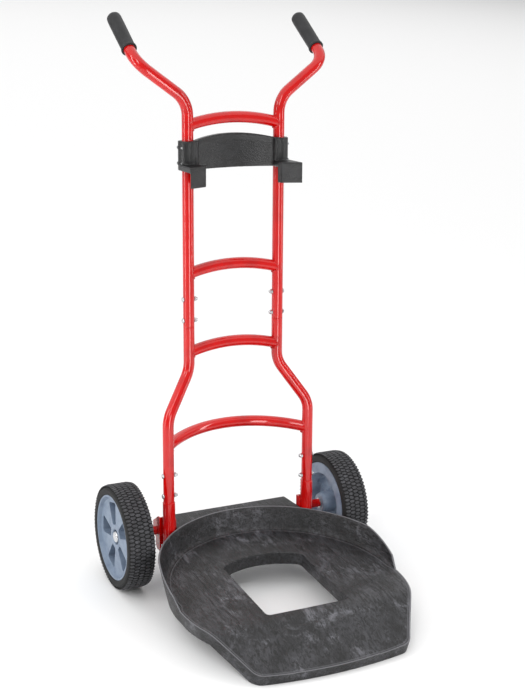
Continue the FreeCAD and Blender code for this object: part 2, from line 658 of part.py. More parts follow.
def tray_fasteners():
    """Bolts that hold the stub tubes to the block's side walls, with their nuts inside the block."""
    bolts = []
    nuts = []
    for point in tray_bolt_points():
        outwards = X_AXIS * math.copysign(1, point.x)
        seat = Vector(math.copysign(LOWER_X + STUB_R + GAP, point.x), point.y, point.z)
        wall_inside = point - outwards * (size("tray_wall") + GAP)
        reach = (seat - wall_inside).Length + 6
        bolts.append(cylinder(BOLT_R, reach, seat, -outwards)
                     .fuse(hexagon(BOLT_R * 1.85, seat, outwards, 4)))
        nut = hexagon(BOLT_R * 1.85, wall_inside, -outwards, 5)
        nuts.append(nut.cut(cylinder(BOLT_R + size("running_gap"), 30, wall_inside + outwards * 10, -outwards)))
    keep_shape("tray_bolts", Part.Compound(bolts))
    keep_shape("tray_nuts", Part.Compound(nuts))


# ---- axles and brackets ----------------------------------------------------------------------
def side_plate(points, x, thickness):
    """A plate across X over an outline of (y, z) points in the frame's coordinates."""
    corners = [Vector(x, y, z) for y, z in points]
    return Part.Face(Part.makePolygon(corners + corners[:1])).extrude(X_AXIS * thickness)


def axle_bracket(name, side):
    """A folded plate: a web behind the stub tube, a short inner cheek and a long outer one."""
    plate = size("bracket_plate")
    inner_x = LOWER_X - STUB_R - GAP - plate
    width = CHEEK_X - inner_x
    web_front = LOWER_Y + STUB_R + GAP
    web_back = web_front + plate
    top = size("bracket_top")
    step = size("bracket_step")
    foot = size("bracket_foot")
    back = size("cheek_back")
    leg = size("leg_back")
    web = Part.makeBox(width, plate, top - foot, Vector(inner_x, web_front, foot))
    outer = side_plate([(web_front, foot), (web_front, top), (web_front + 10, top), (back, top - 19),
                        (back, step), (leg, step - 6), (leg, foot + 8), (leg - 8, foot)],
                       CHEEK_X - plate, plate)
    inner = side_plate([(web_back, step), (web_back, top), (web_front - 8, top), (web_front - 14, top - 8),
                        (web_front - 14, step)], inner_x, plate)
    bracket = web.fuse(outer).fuse(inner)
    axle = lean_place.inverse().multVec(Vector(0, AXLE_Y, AXLE_Z))
    bracket = bracket.cut(cylinder(size("axle_diameter") / 2 + size("running_gap"), 400, axle, X_AXIS))
    if side < 0:
        bracket = bracket.mirror(Vector(0, 0, 0), X_AXIS)
    keep_shape(f"axle_bracket_{name}", bracket.removeSplitter(), frame_place)


def axle_place(x, turned=False):
    """On the axle's line at the given x; turned faces the piece the other way."""
    rotation = FreeCAD.Rotation(Z_AXIS, 180 if turned else 0)
    return truck_place.multiply(FreeCAD.Placement(Vector(x, AXLE_Y, AXLE_Z), rotation))


def axle_pieces(name, side):
    """The rod, sleeve, washers and cap of one side, from the tray outwards."""
    turned = side < 0
    bore = "sizes.axle_diameter + 2 * sizes.running_gap"
    washer_outer = "sizes.axle_diameter * 1.85"
    inner_end = size("axle_inner_end")
    sleeve_start = CHEEK_X + GAP
    inner_washer = HUB_FACE_X - GAP - WASHER_THICKNESS
    outer_washer = HUB_FACE_X + HUB_LENGTH - RECESS_DEPTH + GAP
    rod = ring_body(f"stub_axle_{name}", "sizes.axle_diameter", f"{AXLE_END_X - inner_end}")
    keep(rod, f"stub_axle_{name}", axle_place(side * inner_end, turned))
    sleeve = ring_body(f"axle_sleeve_{name}", "sizes.sleeve_diameter",
                       f"{inner_washer - GAP - sleeve_start}", bore)
    keep(sleeve, f"axle_sleeve_{name}", axle_place(side * sleeve_start, turned))
    for label, start in (("inner_washer", inner_washer), ("outer_washer", outer_washer)):
        washer = ring_body(f"{label}_{name}", washer_outer, f"{WASHER_THICKNESS}", bore)
        keep(washer, f"{label}_{name}", axle_place(side * start, turned))
    start = outer_washer + WASHER_THICKNESS + GAP
    radius = size("cap_diameter") / 2
    cap = cylinder(radius, CAP_LENGTH, Vector(0, 0, 0), X_AXIS)
    cap = cap.makeFillet(4, [edge for edge in cap.Edges if edge.Curve.TypeId == "Part::GeomCircle"
                             and edge.Curve.Center.x > CAP_LENGTH / 2])
    cap = cap.cut(cylinder(size("axle_diameter") / 2 + size("running_gap"), AXLE_END_X - start + 0.5,
                           Vector(0, 0, 0), X_AXIS))
    keep_shape(f"axle_cap_{name}", cap, axle_place(side * start, turned))


# ---- wheels ----------------------------------------------------------------------------------
def turned_shape(points):
    """A solid of revolution round X from a closed outline of (x, radius) points."""
    corners = [Vector(x, 0, radius) for x, radius in points]
    return Part.Face(Part.makePolygon(corners + corners[:1])).revolve(Vector(0, 0, 0), X_AXIS, 360)


def hub_shape():
    """The moulded hub, drawn with its inner end at x = 0 and its outer face towards +X."""
    rim = size("rim_diameter") / 2
    barrel = size("hub_barrel_diameter") / 2
    bore = size("axle_diameter") / 2 + size("bush_wall")
    face = HUB_LENGTH
    recess = size("cap_diameter") / 2 + 4
    disc_back = face - 24
    lip = face + 8.5
    profile = [(0, bore), (0, barrel - 4), (8, barrel - 1), (disc_back - 4, barrel + 2),
               (disc_back, barrel + 8), (disc_back, rim - 37), (14, rim - 27), (8, rim - 25),
               (8, rim), (lip, rim), (lip, rim - 4), (face + 1, rim - 8), (face, rim - 12),
               (face, recess + 2), (face - 1.5, recess), (face - RECESS_DEPTH, recess - 1),
               (face - RECESS_DEPTH, bore)]
    hub = turned_shape(profile)
    near = size("pocket_near")
    far = size("pocket_far")
    corners = [Vector(disc_back - 10, across, radius) for across, radius in
               ((-size("pocket_narrow") / 2, near), (-size("pocket_wide") / 2, far),
                (size("pocket_wide") / 2, far), (size("pocket_narrow") / 2, near))]
    pocket = Part.Face(Part.makePolygon(corners + corners[:1])).extrude(X_AXIS * 60)
    pocket = pocket.makeFillet(5, [edge for edge in pocket.Edges if edge.BoundBox.XLength > 30])
    count = int(size("pocket_count"))
    for step in range(count):
        cutter = pocket.copy()
        cutter.rotate(Vector(0, 0, 0), X_AXIS, (step + 0.25) * 360 / count)
        hub = hub.cut(cutter)
    return hub


def tyre_shape():
    """The solid rubber tyre with sloping shoulders, from x = 0 outwards."""
    crown = size("wheel_diameter") / 2
    rim = size("rim_diameter") / 2 + 0.02
    width = size("wheel_width")
    half = [(1.5, rim), (0, rim + 4), (0, crown - 10), (3, crown - 5), (8, crown - 1.5), (16, crown)]
    return turned_shape(half + [(width - x, radius) for x, radius in reversed(half)])


def bush_shape():
    """A nylon bush: the sleeve from x = 0 towards +X."""
    bore = size("axle_diameter") / 2 + size("running_gap")
    outer = size("axle_diameter") / 2 + size("bush_wall") - 0.02
    return turned_shape([(0, bore), (0, outer), (BUSH_LENGTH, outer), (BUSH_LENGTH, bore)])


def wheel(name, side):
    turned = side < 0
    place = axle_place(side * HUB_FACE_X, turned)
    keep_shape(f"wheel_hub_{name}", hub_shape(), place)
    tyre_x = side * (size("wheel_track") - size("wheel_width")) / 2
    keep_shape(f"tyre_{name}", tyre_shape(), axle_place(tyre_x, turned))
    outer = bush_shape()
    outer.translate(X_AXIS * (HUB_LENGTH - RECESS_DEPTH - BUSH_LENGTH))
    keep_shape(f"wheel_bushes_{name}", Part.Compound([bush_shape(), outer]), place)


# ---- whole truck -----------------------------------------------------------------------------
def build():
    half_upper = UPPER_X
    for name, side in SIDES:
        upper_tube(name, side)
        lower_tube(name, side)
        stub_tube(name, side)
        grip(name, side)
        axle_bracket(name, side)
        cradle_clamp(name, side)
        axle_pieces(name, side)
        wheel(name, side)
    crossbar("top_crossbar", half_upper, 0, size("bar_top"), size("upper_bar_bow"))
    crossbar("second_crossbar", half_upper, 0, size("bar_second"), size("upper_bar_bow"))
    crossbar("third_crossbar", half_upper, 0, size("bar_third"), size("upper_bar_bow"))
    crossbar("fourth_crossbar", LOWER_X, LOWER_Y, size("bar_fourth"), size("lower_bar_bow"))
    joint_fasteners("upper_joint", "joint_high", UPPER_X, 0)
    joint_fasteners("lower_joint", "joint_low", LOWER_X, LOWER_Y)
    cradle()
    cradle_screws()
    tray()
    tray_fasteners()
    doc.recompute()


def centre_on_floor():
    """Moves every piece alike, so that the truck stands on z = 0 with its box centred."""
    box = FreeCAD.BoundBox()
    for piece in pieces:
        box.add(piece.Shape.optimalBoundingBox(False, False))
    shift = Vector(-(box.XMin + box.XMax) / 2, -(box.YMin + box.YMax) / 2, -box.ZMin)
    for piece in pieces:
        placement = FreeCAD.Placement(piece.Placement)
        placement.Base = placement.Base + shift
        piece.Placement = placement
    doc.recompute()
    print("moved by", [round(value, 4) for value in shift], "box",
          [round(value, 2) for value in (box.XLength, box.YLength, box.ZLength)])


def check_and_write():
    for obj in doc.Objects:
        if "Invalid" in obj.State or "Error" in obj.State:
            raise RuntimeError(f"{obj.Label} failed: {obj.State}")
    for piece in pieces:
        shape = piece.Shape
        if shape.isNull() or not shape.isValid() or not shape.Solids:
            raise RuntimeError(f"{piece.Label} has no sound shape")
    os.makedirs("parts", exist_ok=True)
    for piece in pieces:
        piece.Shape.exportStep(f"parts/{piece.Label}.step")
    print(len(pieces), "pieces written")


build()
centre_on_floor()
check_and_write()
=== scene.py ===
"""Hand truck for round containers: the visual model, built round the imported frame.

Shapes are drawn in millimetres in the tray's level coordinates or in the leaning frame's own
coordinates, and two matrices put them in place.  Each sub-assembly is a class, and each surface
finish is a frozen dataclass that builds one procedural material.
"""

import json
import logging
import math
from dataclasses import dataclass, field
from enum import Enum
from typing import ClassVar

import bmesh
import bpy
from mathutils import Matrix, Vector


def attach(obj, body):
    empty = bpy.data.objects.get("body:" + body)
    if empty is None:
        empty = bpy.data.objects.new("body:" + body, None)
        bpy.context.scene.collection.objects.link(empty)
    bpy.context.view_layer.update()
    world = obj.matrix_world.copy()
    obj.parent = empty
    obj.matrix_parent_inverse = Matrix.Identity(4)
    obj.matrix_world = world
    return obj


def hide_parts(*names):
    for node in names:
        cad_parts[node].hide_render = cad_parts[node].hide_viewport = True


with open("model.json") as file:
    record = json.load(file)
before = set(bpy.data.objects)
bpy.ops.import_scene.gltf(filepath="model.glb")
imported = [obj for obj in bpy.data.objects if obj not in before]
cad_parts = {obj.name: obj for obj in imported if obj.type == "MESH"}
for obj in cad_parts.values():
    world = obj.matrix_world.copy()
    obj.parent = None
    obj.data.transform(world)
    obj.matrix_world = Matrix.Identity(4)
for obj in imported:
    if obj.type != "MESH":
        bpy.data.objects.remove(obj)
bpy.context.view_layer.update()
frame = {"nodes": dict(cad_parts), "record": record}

MM = 0.001
TURN = 2 * math.pi
LOG = logging.getLogger("hand_truck")


class Side(Enum):
    """The two sides of the truck; the value is the sign of X."""

    LEFT = -1
    RIGHT = 1

    @property
    def word(self) -> str:
        """The side's word in node names."""
        return self.name.lower()


# ---- places ----------------------------------------------------------------------------------
@dataclass(frozen=True)
class Datum:
    """How the tray's and the frame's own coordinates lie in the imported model.

    Lengths are in millimetres, angles in degrees.
    """

    tray_tilt: float = 0.9
    frame_lean: float = 5.61
    frame_datum: float = 114.3
    axle_back: float = 5.0
    wheel_radius: float = 120.0
    nose_foot: float = -522.0

    @property
    def axle_height(self) -> float:
        """Height of the axles in the tray's coordinates."""
        tilt = math.radians(self.tray_tilt)
        return (self.wheel_radius - math.sin(tilt) * (self.axle_back - self.nose_foot)) / math.cos(tilt)

    @property
    def tray(self) -> Matrix:
        """Matrix from the tray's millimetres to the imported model's metres."""
        turn = Matrix.Rotation(math.radians(self.tray_tilt), 4, "X") @ Matrix.Scale(MM, 4)
        joint = frame["record"]["behaviour"]["joints"][0]["pos_m"]
        drawn = turn @ Vector((0, self.axle_back, self.axle_height))
        return Matrix.Translation((0, joint[1] - drawn.y, joint[2] - drawn.z)) @ turn

    @property
    def frame(self) -> Matrix:
        """Matrix from the leaning frame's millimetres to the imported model's metres."""
        lean = Matrix.Rotation(-math.radians(self.frame_lean), 4, "X")
        return self.tray @ Matrix.Translation((0, 0, self.frame_datum)) @ lean

    def axle(self, x: float, side: Side) -> Matrix:
        """Matrix of a piece turned on the axle.

        Args:
            x: distance from the truck's middle, in millimetres.
            side: the side that the piece is on; its own +X then points outwards.

        Returns:
            The piece's matrix.
        """
        place = Matrix.Translation((side.value * x, self.axle_back, self.axle_height))
        turned = Matrix.Rotation(math.pi if side is Side.LEFT else 0, 4, "Z")
        return self.tray @ place @ turned


DATUM = Datum()


# ---- materials -------------------------------------------------------------------------------
def linear(code: str) -> tuple[float, float, float, float]:
    """Linear colour of an sRGB hex code such as "8f9ba8"."""
    parts = [int(code[start:start + 2], 16) / 255 for start in (0, 2, 4)]
    red, green, blue = [part / 12.92 if part <= 0.04045 else ((part + 0.055) / 1.055) ** 2.4 for part in parts]
    return (red, green, blue, 1.0)


def add_node(tree: bpy.types.NodeTree, kind: str, settings: dict | None = None,
             inputs: dict | None = None) -> bpy.types.Node:
    """Adds one node.

    Args:
        tree: the material's node tree.
        kind: the node's type name.
        settings: the node's own properties.
        inputs: socket name or number to a value, or to the output socket that feeds it.

    Returns:
        The new node.
    """
    made = tree.nodes.new(kind)
    for name, value in (settings or {}).items():
        setattr(made, name, value)
    for key, value in (inputs or {}).items():
        if isinstance(value, bpy.types.NodeSocket):
            tree.links.new(value, made.inputs[key])
        else:
            made.inputs[key].default_value = value
    return made


@dataclass(frozen=True)
class Finish:
    """A surface finish: one Principled shader over the object's own coordinates, in millimetres."""

    name: str
    roughness: float
    ior: float = 1.5

    def build(self) -> bpy.types.Material:
        """Builds the material, or returns the one that was built before."""
        made = bpy.data.materials.get(self.name)
        if made is None:
            made = bpy.data.materials.new(self.name)
            made.use_nodes = True
            tree = made.node_tree
            tree.nodes.clear()
            coordinates = add_node(tree, "ShaderNodeTexCoord")
            scaled = add_node(tree, "ShaderNodeVectorMath", {"operation": "SCALE"},
                              {0: coordinates.outputs["Object"], "Scale": 1 / MM})
            shader = add_node(tree, "ShaderNodeBsdfPrincipled", None,
                              {"Roughness": self.roughness, "IOR": self.ior})
            add_node(tree, "ShaderNodeOutputMaterial", None, {"Surface": shader.outputs["BSDF"]})
            self.dress(tree, shader, scaled.outputs["Vector"])
        return made

    def dress(self, tree: bpy.types.NodeTree, shader: bpy.types.Node, place: bpy.types.NodeSocket) -> None:
        """Links colour, roughness and bump; each finish has its own."""
        raise NotImplementedError

    def blend(self, tree: bpy.types.NodeTree, factor: bpy.types.NodeSocket, low: str, high: str,
              edges: tuple[float, float]) -> bpy.types.NodeSocket:
        """A colour that goes from low to high as factor crosses the edges."""
        share = add_node(tree, "ShaderNodeMapRange", {"interpolation_type": "SMOOTHSTEP"},
                         {"Value": factor, "From Min": edges[0], "From Max": edges[1]})
        mixed = add_node(tree, "ShaderNodeMix", {"data_type": "RGBA"},
                         {0: share.outputs["Result"], 6: linear(low), 7: linear(high)})
        return mixed.outputs[2]

    def relief(self, tree: bpy.types.NodeTree, shader: bpy.types.Node, height: bpy.types.NodeSocket,
               depth: float, before: bpy.types.NodeSocket | None = None) -> bpy.types.NodeSocket:
        """Adds a bump of the given depth in millimetres, on top of an earlier one."""
        inputs = {"Height": height, "Distance": depth * MM, "Strength": 1.0}
        if before is not None:
            inputs["Normal"] = before
        bump = add_node(tree, "ShaderNodeBump", None, inputs)
        tree.links.new(bump.outputs["Normal"], shader.inputs["Normal"])
        return bump.outputs["Normal"]


@dataclass(frozen=True)
class PowderCoat(Finish):
    """Gloss polyester powder coat on steel: even colour, high gloss, faint orange peel."""

    colour: str = "c40301"
    shade: str = "ae0201"
    peel: float = 2.6

    def dress(self, tree: bpy.types.NodeTree, shader: bpy.types.Node, place: bpy.types.NodeSocket) -> None:
        """Cloudy change of tone, and orange peel a few millimetres across."""
        cloud = add_node(tree, "ShaderNodeTexNoise", None,
                         {"Vector": place, "Scale": 1 / 60, "Detail": 3.0, "Roughness": 0.6})
        colour = self.blend(tree, cloud.outputs["Fac"], self.shade, self.colour, (0.25, 0.55))
        tree.links.new(colour, shader.inputs["Base Color"])
        peel = add_node(tree, "ShaderNodeTexNoise", None,
                        {"Vector": place, "Scale": 1 / self.peel, "Detail": 2.0})
        self.relief(tree, shader, peel.outputs["Fac"], 0.02)
        shader.inputs["Specular IOR Level"].default_value = 0.1
        shader.inputs["Coat Weight"].default_value = 0.8
        shader.inputs["Coat IOR"].default_value = 1.6
        shader.inputs["Coat Roughness"].default_value = 0.07


@dataclass(frozen=True)
class FoamMoulding(Finish):
    """Structural-foam polyethylene: charcoal, with paler flow swirls and a leathery skin."""

    # name of the mesh layer that marks the rows which take a painted highlight along the rim and the deck's edge
    painted_highlight_layer: ClassVar[str] = "painted_highlight"
    dark: str = "101012"
    middle: str = "29292c"
    pale: str = "55555a"
    # pale grey painted on the marked rows as a painted highlight
    edge: str = "68686c"
    swirl: float = 110.0
    grain: float = 3.0
    streak: float = 7.0
    vein: float = 30.0
    # moulded lines along the deck: distance from the middle, front end and rear end
    lines: tuple[tuple[float, float, float], ...] = ((136, -142, -9), (186, -282, -153), (171, -270, -10))

    def dress(self, tree: bpy.types.NodeTree, shader: bpy.types.Node, place: bpy.types.NodeSocket) -> None:
        """Swirls in the colour, wrinkled grain, streaks that run towards the nose, painted shade and highlight on the
        wrinkles, and a painted highlight on the rim.
        """
        warp = add_node(tree, "ShaderNodeTexNoise", None,
                        {"Vector": place, "Scale": 1 / self.swirl, "Detail": 4.0, "Roughness": 0.55,
                         "Distortion": 1.6})
        wisp = add_node(tree, "ShaderNodeTexNoise", None,
                        {"Vector": place, "Scale": 1.5 / self.swirl, "Detail": 10.0, "Roughness": 0.66,
                         "Distortion": 0.9})
        base = self.blend(tree, warp.outputs["Fac"], self.dark, self.middle, (0.34, 0.66))
        share = add_node(tree, "ShaderNodeMapRange", {"interpolation_type": "SMOOTHSTEP"},
                         {"Value": wisp.outputs["Fac"], "From Min": 0.5, "From Max": 0.72, "To Max": 0.9})
        colour = add_node(tree, "ShaderNodeMix", {"data_type": "RGBA"},
                          {0: share.outputs["Result"], 6: base, 7: linear(self.pale)})
        wrinkle = add_node(tree, "ShaderNodeTexNoise", None,
                           {"Vector": self.along_tray(tree, place), "Scale": 1.0, "Detail": 5.0,
                            "Roughness": 0.7, "Distortion": 1.1})
        # colour scaled by the wrinkle noise that also drives the 2.6 mm bump: painted shade in the wrinkles' hollows
        # and painted highlight on their crests
        wrinkle_light_and_shade = add_node(tree, "ShaderNodeMapRange", {"interpolation_type": "SMOOTHSTEP"},
                        {"Value": wrinkle.outputs["Fac"], "From Min": 0.4, "From Max": 0.58,
                         "To Min": 0.15, "To Max": 1.7})
        shaded = add_node(tree, "ShaderNodeVectorMath", {"operation": "SCALE"},
                          {0: colour.outputs[2], "Scale": wrinkle_light_and_shade.outputs["Result"]})
        # paler colour on the marked rows: a painted highlight along the wall's rim and the deck's edge
        painted_highlight = add_node(tree, "ShaderNodeAttribute", {"attribute_name": self.painted_highlight_layer})
        edges = add_node(tree, "ShaderNodeMix", {"data_type": "RGBA"},
                         {0: painted_highlight.outputs["Fac"], 6: shaded.outputs["Vector"], 7: linear(self.edge)})
        tree.links.new(edges.outputs[2], shader.inputs["Base Color"])
        rough = add_node(tree, "ShaderNodeMapRange", None,
                         {"Value": wisp.outputs["Fac"], "From Min": 0.3, "From Max": 0.7,
                          "To Min": self.roughness + 0.1, "To Max": self.roughness - 0.08})
        tree.links.new(rough.outputs["Result"], shader.inputs["Roughness"])
        cells = add_node(tree, "ShaderNodeTexVoronoi", {"feature": "SMOOTH_F1"},
                         {"Vector": place, "Scale": 1 / self.grain, "Smoothness": 0.5, "Randomness": 1.0})
        veins = add_node(tree, "ShaderNodeTexNoise", {"noise_type": "RIDGED_MULTIFRACTAL"},
                         {"Vector": place, "Scale": 1 / self.vein, "Detail": 5.0, "Roughness": 0.6,
                          "Distortion": 1.8, "Gain": 1.6})
        normal = self.relief(tree, shader, cells.outputs["Distance"], 0.35)
        normal = self.relief(tree, shader, wrinkle.outputs["Fac"], 2.6, normal)
        normal = self.relief(tree, shader, veins.outputs["Fac"], 0.5, normal)
        self.relief(tree, shader, self.grooves(tree, place), 1.1, normal)

    def along_tray(self, tree: bpy.types.NodeTree, place: bpy.types.NodeSocket) -> bpy.types.NodeSocket:
        """Coordinates in which the wrinkles run from the back of the tray to its nose."""
        stretched = add_node(tree, "ShaderNodeMapping", None,
                             {"Vector": place, "Scale": (1 / self.streak, 1 / (self.streak * 5), 1 / self.streak)})
        return stretched.outputs["Vector"]

    def grooves(self, tree: bpy.types.NodeTree, place: bpy.types.NodeSocket) -> bpy.types.NodeSocket:
        """Height map of the straight moulded lines, 0 in a line and 1 elsewhere."""
        parts = add_node(tree, "ShaderNodeSeparateXYZ", None, {"Vector": place})
        across = add_node(tree, "ShaderNodeMath", {"operation": "ABSOLUTE"}, {0: parts.outputs["X"]})
        height = None
        for middle, front, rear in self.lines:
            offset = add_node(tree, "ShaderNodeMath", {"operation": "SUBTRACT"},
                              {0: across.outputs[0], 1: middle})
            far = add_node(tree, "ShaderNodeMath", {"operation": "ABSOLUTE"}, {0: offset.outputs[0]})
            beyond = add_node(tree, "ShaderNodeMath", {"operation": "SUBTRACT"},
                              {0: parts.outputs["Y"], 1: (front + rear) / 2})
            length = add_node(tree, "ShaderNodeMath", {"operation": "ABSOLUTE"}, {0: beyond.outputs[0]})
            excess = add_node(tree, "ShaderNodeMath", {"operation": "SUBTRACT"},
                              {0: length.outputs[0], 1: (rear - front) / 2})
            distance = add_node(tree, "ShaderNodeMath", {"operation": "MAXIMUM"},
                                {0: far.outputs[0], 1: excess.outputs[0]})
            share = add_node(tree, "ShaderNodeMapRange", {"interpolation_type": "SMOOTHSTEP"},
                             {"Value": distance.outputs[0], "From Min": 0.5, "From Max": 1.9})
            if height is None:
                height = share.outputs["Result"]
            else:
                height = add_node(tree, "ShaderNodeMath", {"operation": "MINIMUM"},
                                  {0: height, 1: share.outputs["Result"]}).outputs[0]
        return height


@dataclass(frozen=True)
class PebbledMoulding(Finish):
    """Injection-moulded polypropylene with a pebbled mould texture."""

    colour: str = "0c0c0d"
    shade: str = "1d1d1f"
    pebble: float = 2.2
    depth: float = 0.5

    def dress(self, tree: bpy.types.NodeTree, shader: bpy.types.Node, place: bpy.types.NodeSocket) -> None:
        """Pebbles, drawn about twice their real size so that they show, and faint clouds."""
        cloud = add_node(tree, "ShaderNodeTexNoise", None,
                         {"Vector": place, "Scale": 1 / 25, "Detail": 5.0, "Roughness": 0.6})
        colour = self.blend(tree, cloud.outputs["Fac"], self.colour, self.shade, (0.35, 0.7))
        tree.links.new(colour, shader.inputs["Base Color"])
        pebbles = add_node(tree, "ShaderNodeTexVoronoi", {"feature": "SMOOTH_F1"},
                           {"Vector": place, "Scale": 1 / self.pebble, "Smoothness": 0.6})
        self.relief(tree, shader, pebbles.outputs["Distance"], self.depth)


@dataclass(frozen=True)
class SmoothMoulding(Finish):
    """Injection-moulded nylon or polypropylene with a satin skin."""

    colour: str = "78879a"
    shade: str = "66758a"

    def dress(self, tree: bpy.types.NodeTree, shader: bpy.types.Node, place: bpy.types.NodeSocket) -> None:
        """Faint clouds, a fine skin, and edges that catch the light."""
        cloud = add_node(tree, "ShaderNodeTexNoise", None,
                         {"Vector": place, "Scale": 1 / 22, "Detail": 4.0, "Roughness": 0.6})
        colour = self.blend(tree, cloud.outputs["Fac"], self.shade, self.colour, (0.3, 0.6))
        tree.links.new(colour, shader.inputs["Base Color"])
        skin = add_node(tree, "ShaderNodeTexNoise", None,
                        {"Vector": place, "Scale": 1 / 1.2, "Detail": 2.0})
        rounded = add_node(tree, "ShaderNodeBevel", {"samples": 4}, {"Radius": 1.2 * MM})
        self.relief(tree, shader, skin.outputs["Fac"], 0.03, rounded.outputs["Normal"])


@dataclass(frozen=True)
class TreadRubber(Finish):
    """Vulcanised black rubber, greyed where it has rolled; the paler tread-top copy is also painted light, against
    grooves left dark as painted shade.
    """

    colour: str = "040404"
    shade: str = "101011"
    speck: float = 1.6

    def dress(self, tree: bpy.types.NodeTree, shader: bpy.types.Node, place: bpy.types.NodeSocket) -> None:
        """Dusty patches and a fine matt skin."""
        dust = add_node(tree, "ShaderNodeTexNoise", None,
                        {"Vector": place, "Scale": 1 / 9, "Detail": 6.0, "Roughness": 0.7})
        colour = self.blend(tree, dust.outputs["Fac"], self.colour, self.shade, (0.4, 0.7))
        tree.links.new(colour, shader.inputs["Base Color"])
        skin = add_node(tree, "ShaderNodeTexNoise", None,
                        {"Vector": place, "Scale": 1 / self.speck, "Detail": 3.0})
        self.relief(tree, shader, skin.outputs["Fac"], 0.12)


@dataclass(frozen=True)
class ZincPlate(Finish):
    """Bright zinc plate on steel fasteners: pale metal with soft spangle."""

    colour: str = "d9dadb"
    shade: str = "a9acb0"

    def dress(self, tree: bpy.types.NodeTree, shader: bpy.types.Node, place: bpy.types.NodeSocket) -> None:
        """Spangle in tone and in roughness."""
        spangle = add_node(tree, "ShaderNodeTexNoise", None,
                           {"Vector": place, "Scale": 1 / 3, "Detail": 3.0})
        colour = self.blend(tree, spangle.outputs["Fac"], self.shade, self.colour, (0.3, 0.6))
        tree.links.new(colour, shader.inputs["Base Color"])
        rough = add_node(tree, "ShaderNodeMapRange", None,
                         {"Value": spangle.outputs["Fac"], "To Min": self.roughness + 0.1,
                          "To Max": self.roughness - 0.05})
        tree.links.new(rough.outputs["Result"], shader.inputs["Roughness"])
        shader.inputs["Metallic"].default_value = 1.0


RED_ENAMEL = PowderCoat("red_powder_coat", 0.22)
TRAY_FOAM = FoamMoulding("charcoal_structural_foam", 0.42)
CRADLE_PLASTIC = PebbledMoulding("black_pebbled_polypropylene", 0.36)
HUB_NYLON = SmoothMoulding("grey_blue_hub_nylon", 0.42)
BUSH_NYLON = SmoothMoulding("ivory_bush_nylon", 0.4, colour="c9c6ba", shade="b8b4a6")
TYRE_RUBBER = TreadRubber("black_tyre_rubber", 0.72)
# tread tops: paler than the black groove rubber, partly rolling wear and partly painted light, the grooves staying
# dark as painted shade
TREAD_TOP = TreadRubber("tread_top_rubber_worn_and_painted_light", 0.6, colour="242427", shade="47474b")
GRIP_RUBBER = PebbledMoulding("charcoal_grip_rubber", 0.55, colour="0f0f11", shade="202023", pebble=1.4, depth=0.15)
FASTENER_ZINC = ZincPlate("bright_zinc_plate", 0.25)

# the finish of every carried-over CAD node, by its material slot in the record
SLOT_FINISHES = {
    "red_enamel": RED_ENAMEL,
    "zinc_steel": FASTENER_ZINC,
    "tray_plastic": TRAY_FOAM,
    "cradle_plastic": CRADLE_PLASTIC,
    "hub_plastic": HUB_NYLON,
    "bush_nylon": BUSH_NYLON,
    "grip_rubber": GRIP_RUBBER,
    "tyre": TYRE_RUBBER,
}


# ---- mesh helpers ----------------------------------------------------------------------------
def soften(mesh: bmesh.types.BMesh, angle: float) -> None:
    """Shades a mesh smooth except at edges sharper than an angle in degrees."""
    limit = math.radians(angle)
    for face in mesh.faces:
        face.smooth = True
    for edge in mesh.edges:
        edge.smooth = edge.calc_face_angle(0.0) < limit


def revolve(mesh: bmesh.types.BMesh, outline: list[tuple[float, float]], steps: int, closed: bool = True) -> None:
    """Spins an outline of (x, radius) points round the X axis.

    Args:
        mesh: the mesh that takes the shape.
        outline: the section's points.
        steps: how many steps make the full turn.
        closed: whether the outline's last point joins its first.
    """
    points = [mesh.verts.new((x, 0, radius)) for x, radius in outline]
    pairs = list(zip(points, points[1:]))
    if closed:
        pairs.append((points[-1], points[0]))
    edges = [mesh.edges.new(pair) for pair in pairs]
    bmesh.ops.spin(mesh, geom=points + edges, cent=(0, 0, 0), axis=(1, 0, 0), angle=TURN,
                   steps=steps, use_merge=True)
    bmesh.ops.recalc_face_normals(mesh, faces=mesh.faces)


def publish(mesh: bmesh.types.BMesh, name: str, place: Matrix, finishes: list[Finish], body: str,
            replaced: tuple[str, ...] = (), angle: float = 35) -> bpy.types.Object:
    """Turns a bmesh into a finished piece of the object.

    Args:
        mesh: the shape in its own millimetres; it is freed.
        name: the piece's name.
        place: matrix from the shape's millimetres to the model's metres.
        finishes: the piece's material slots in order.
        body: the CAD body that the piece rides on.
        replaced: CAD nodes that the piece stands for.
        angle: edges sharper than this stay sharp, in degrees.

    Returns:
        The new object.
    """
    bmesh.ops.transform(mesh, matrix=place, verts=mesh.verts)
    soften(mesh, angle)
    data = bpy.data.meshes.new(name)
    mesh.to_mesh(data)
    mesh.free()
    for finish in finishes:
        data.materials.append(finish.build())
    piece = bpy.data.objects.new(name, data)
    bpy.context.scene.collection.objects.link(piece)
    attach(piece, body)
    if replaced:
        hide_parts(*replaced)
    LOG.info("%s: %d faces, rides on %s", name, len(data.polygons), body)
    return piece


def smoothstep(value: float, low: float, high: float) -> float:
    """0 below low, 1 above high, and a smooth rise between them."""
    share = min(1.0, max(0.0, (value - low) / (high - low)))
    return share * share * (3 - 2 * share)


def arc_points(start: Vector, middle: Vector, end: Vector, count: int) -> list[Vector]:
    """Evenly spaced points of the flat arc through three points, its ends included."""
    first = middle - start
    second = end - start
    cross = first.x * second.y - first.y * second.x
    level = Vector((second.y * first.length_squared - first.y * second.length_squared,
                    first.x * second.length_squared - second.x * first.length_squared)) / (2 * cross)
    centre = start + level
    angles = [math.atan2(point.y - centre.y, point.x - centre.x) for point in (start, middle, end)]
    sweep = (angles[2] - angles[0]) % TURN
    if (angles[1] - angles[0]) % TURN > sweep:
        sweep -= TURN
    turns = [angles[0] + sweep * step / (count - 1) for step in range(count)]
    return [centre + level.length * Vector((math.cos(turn), math.sin(turn))) for turn in turns]


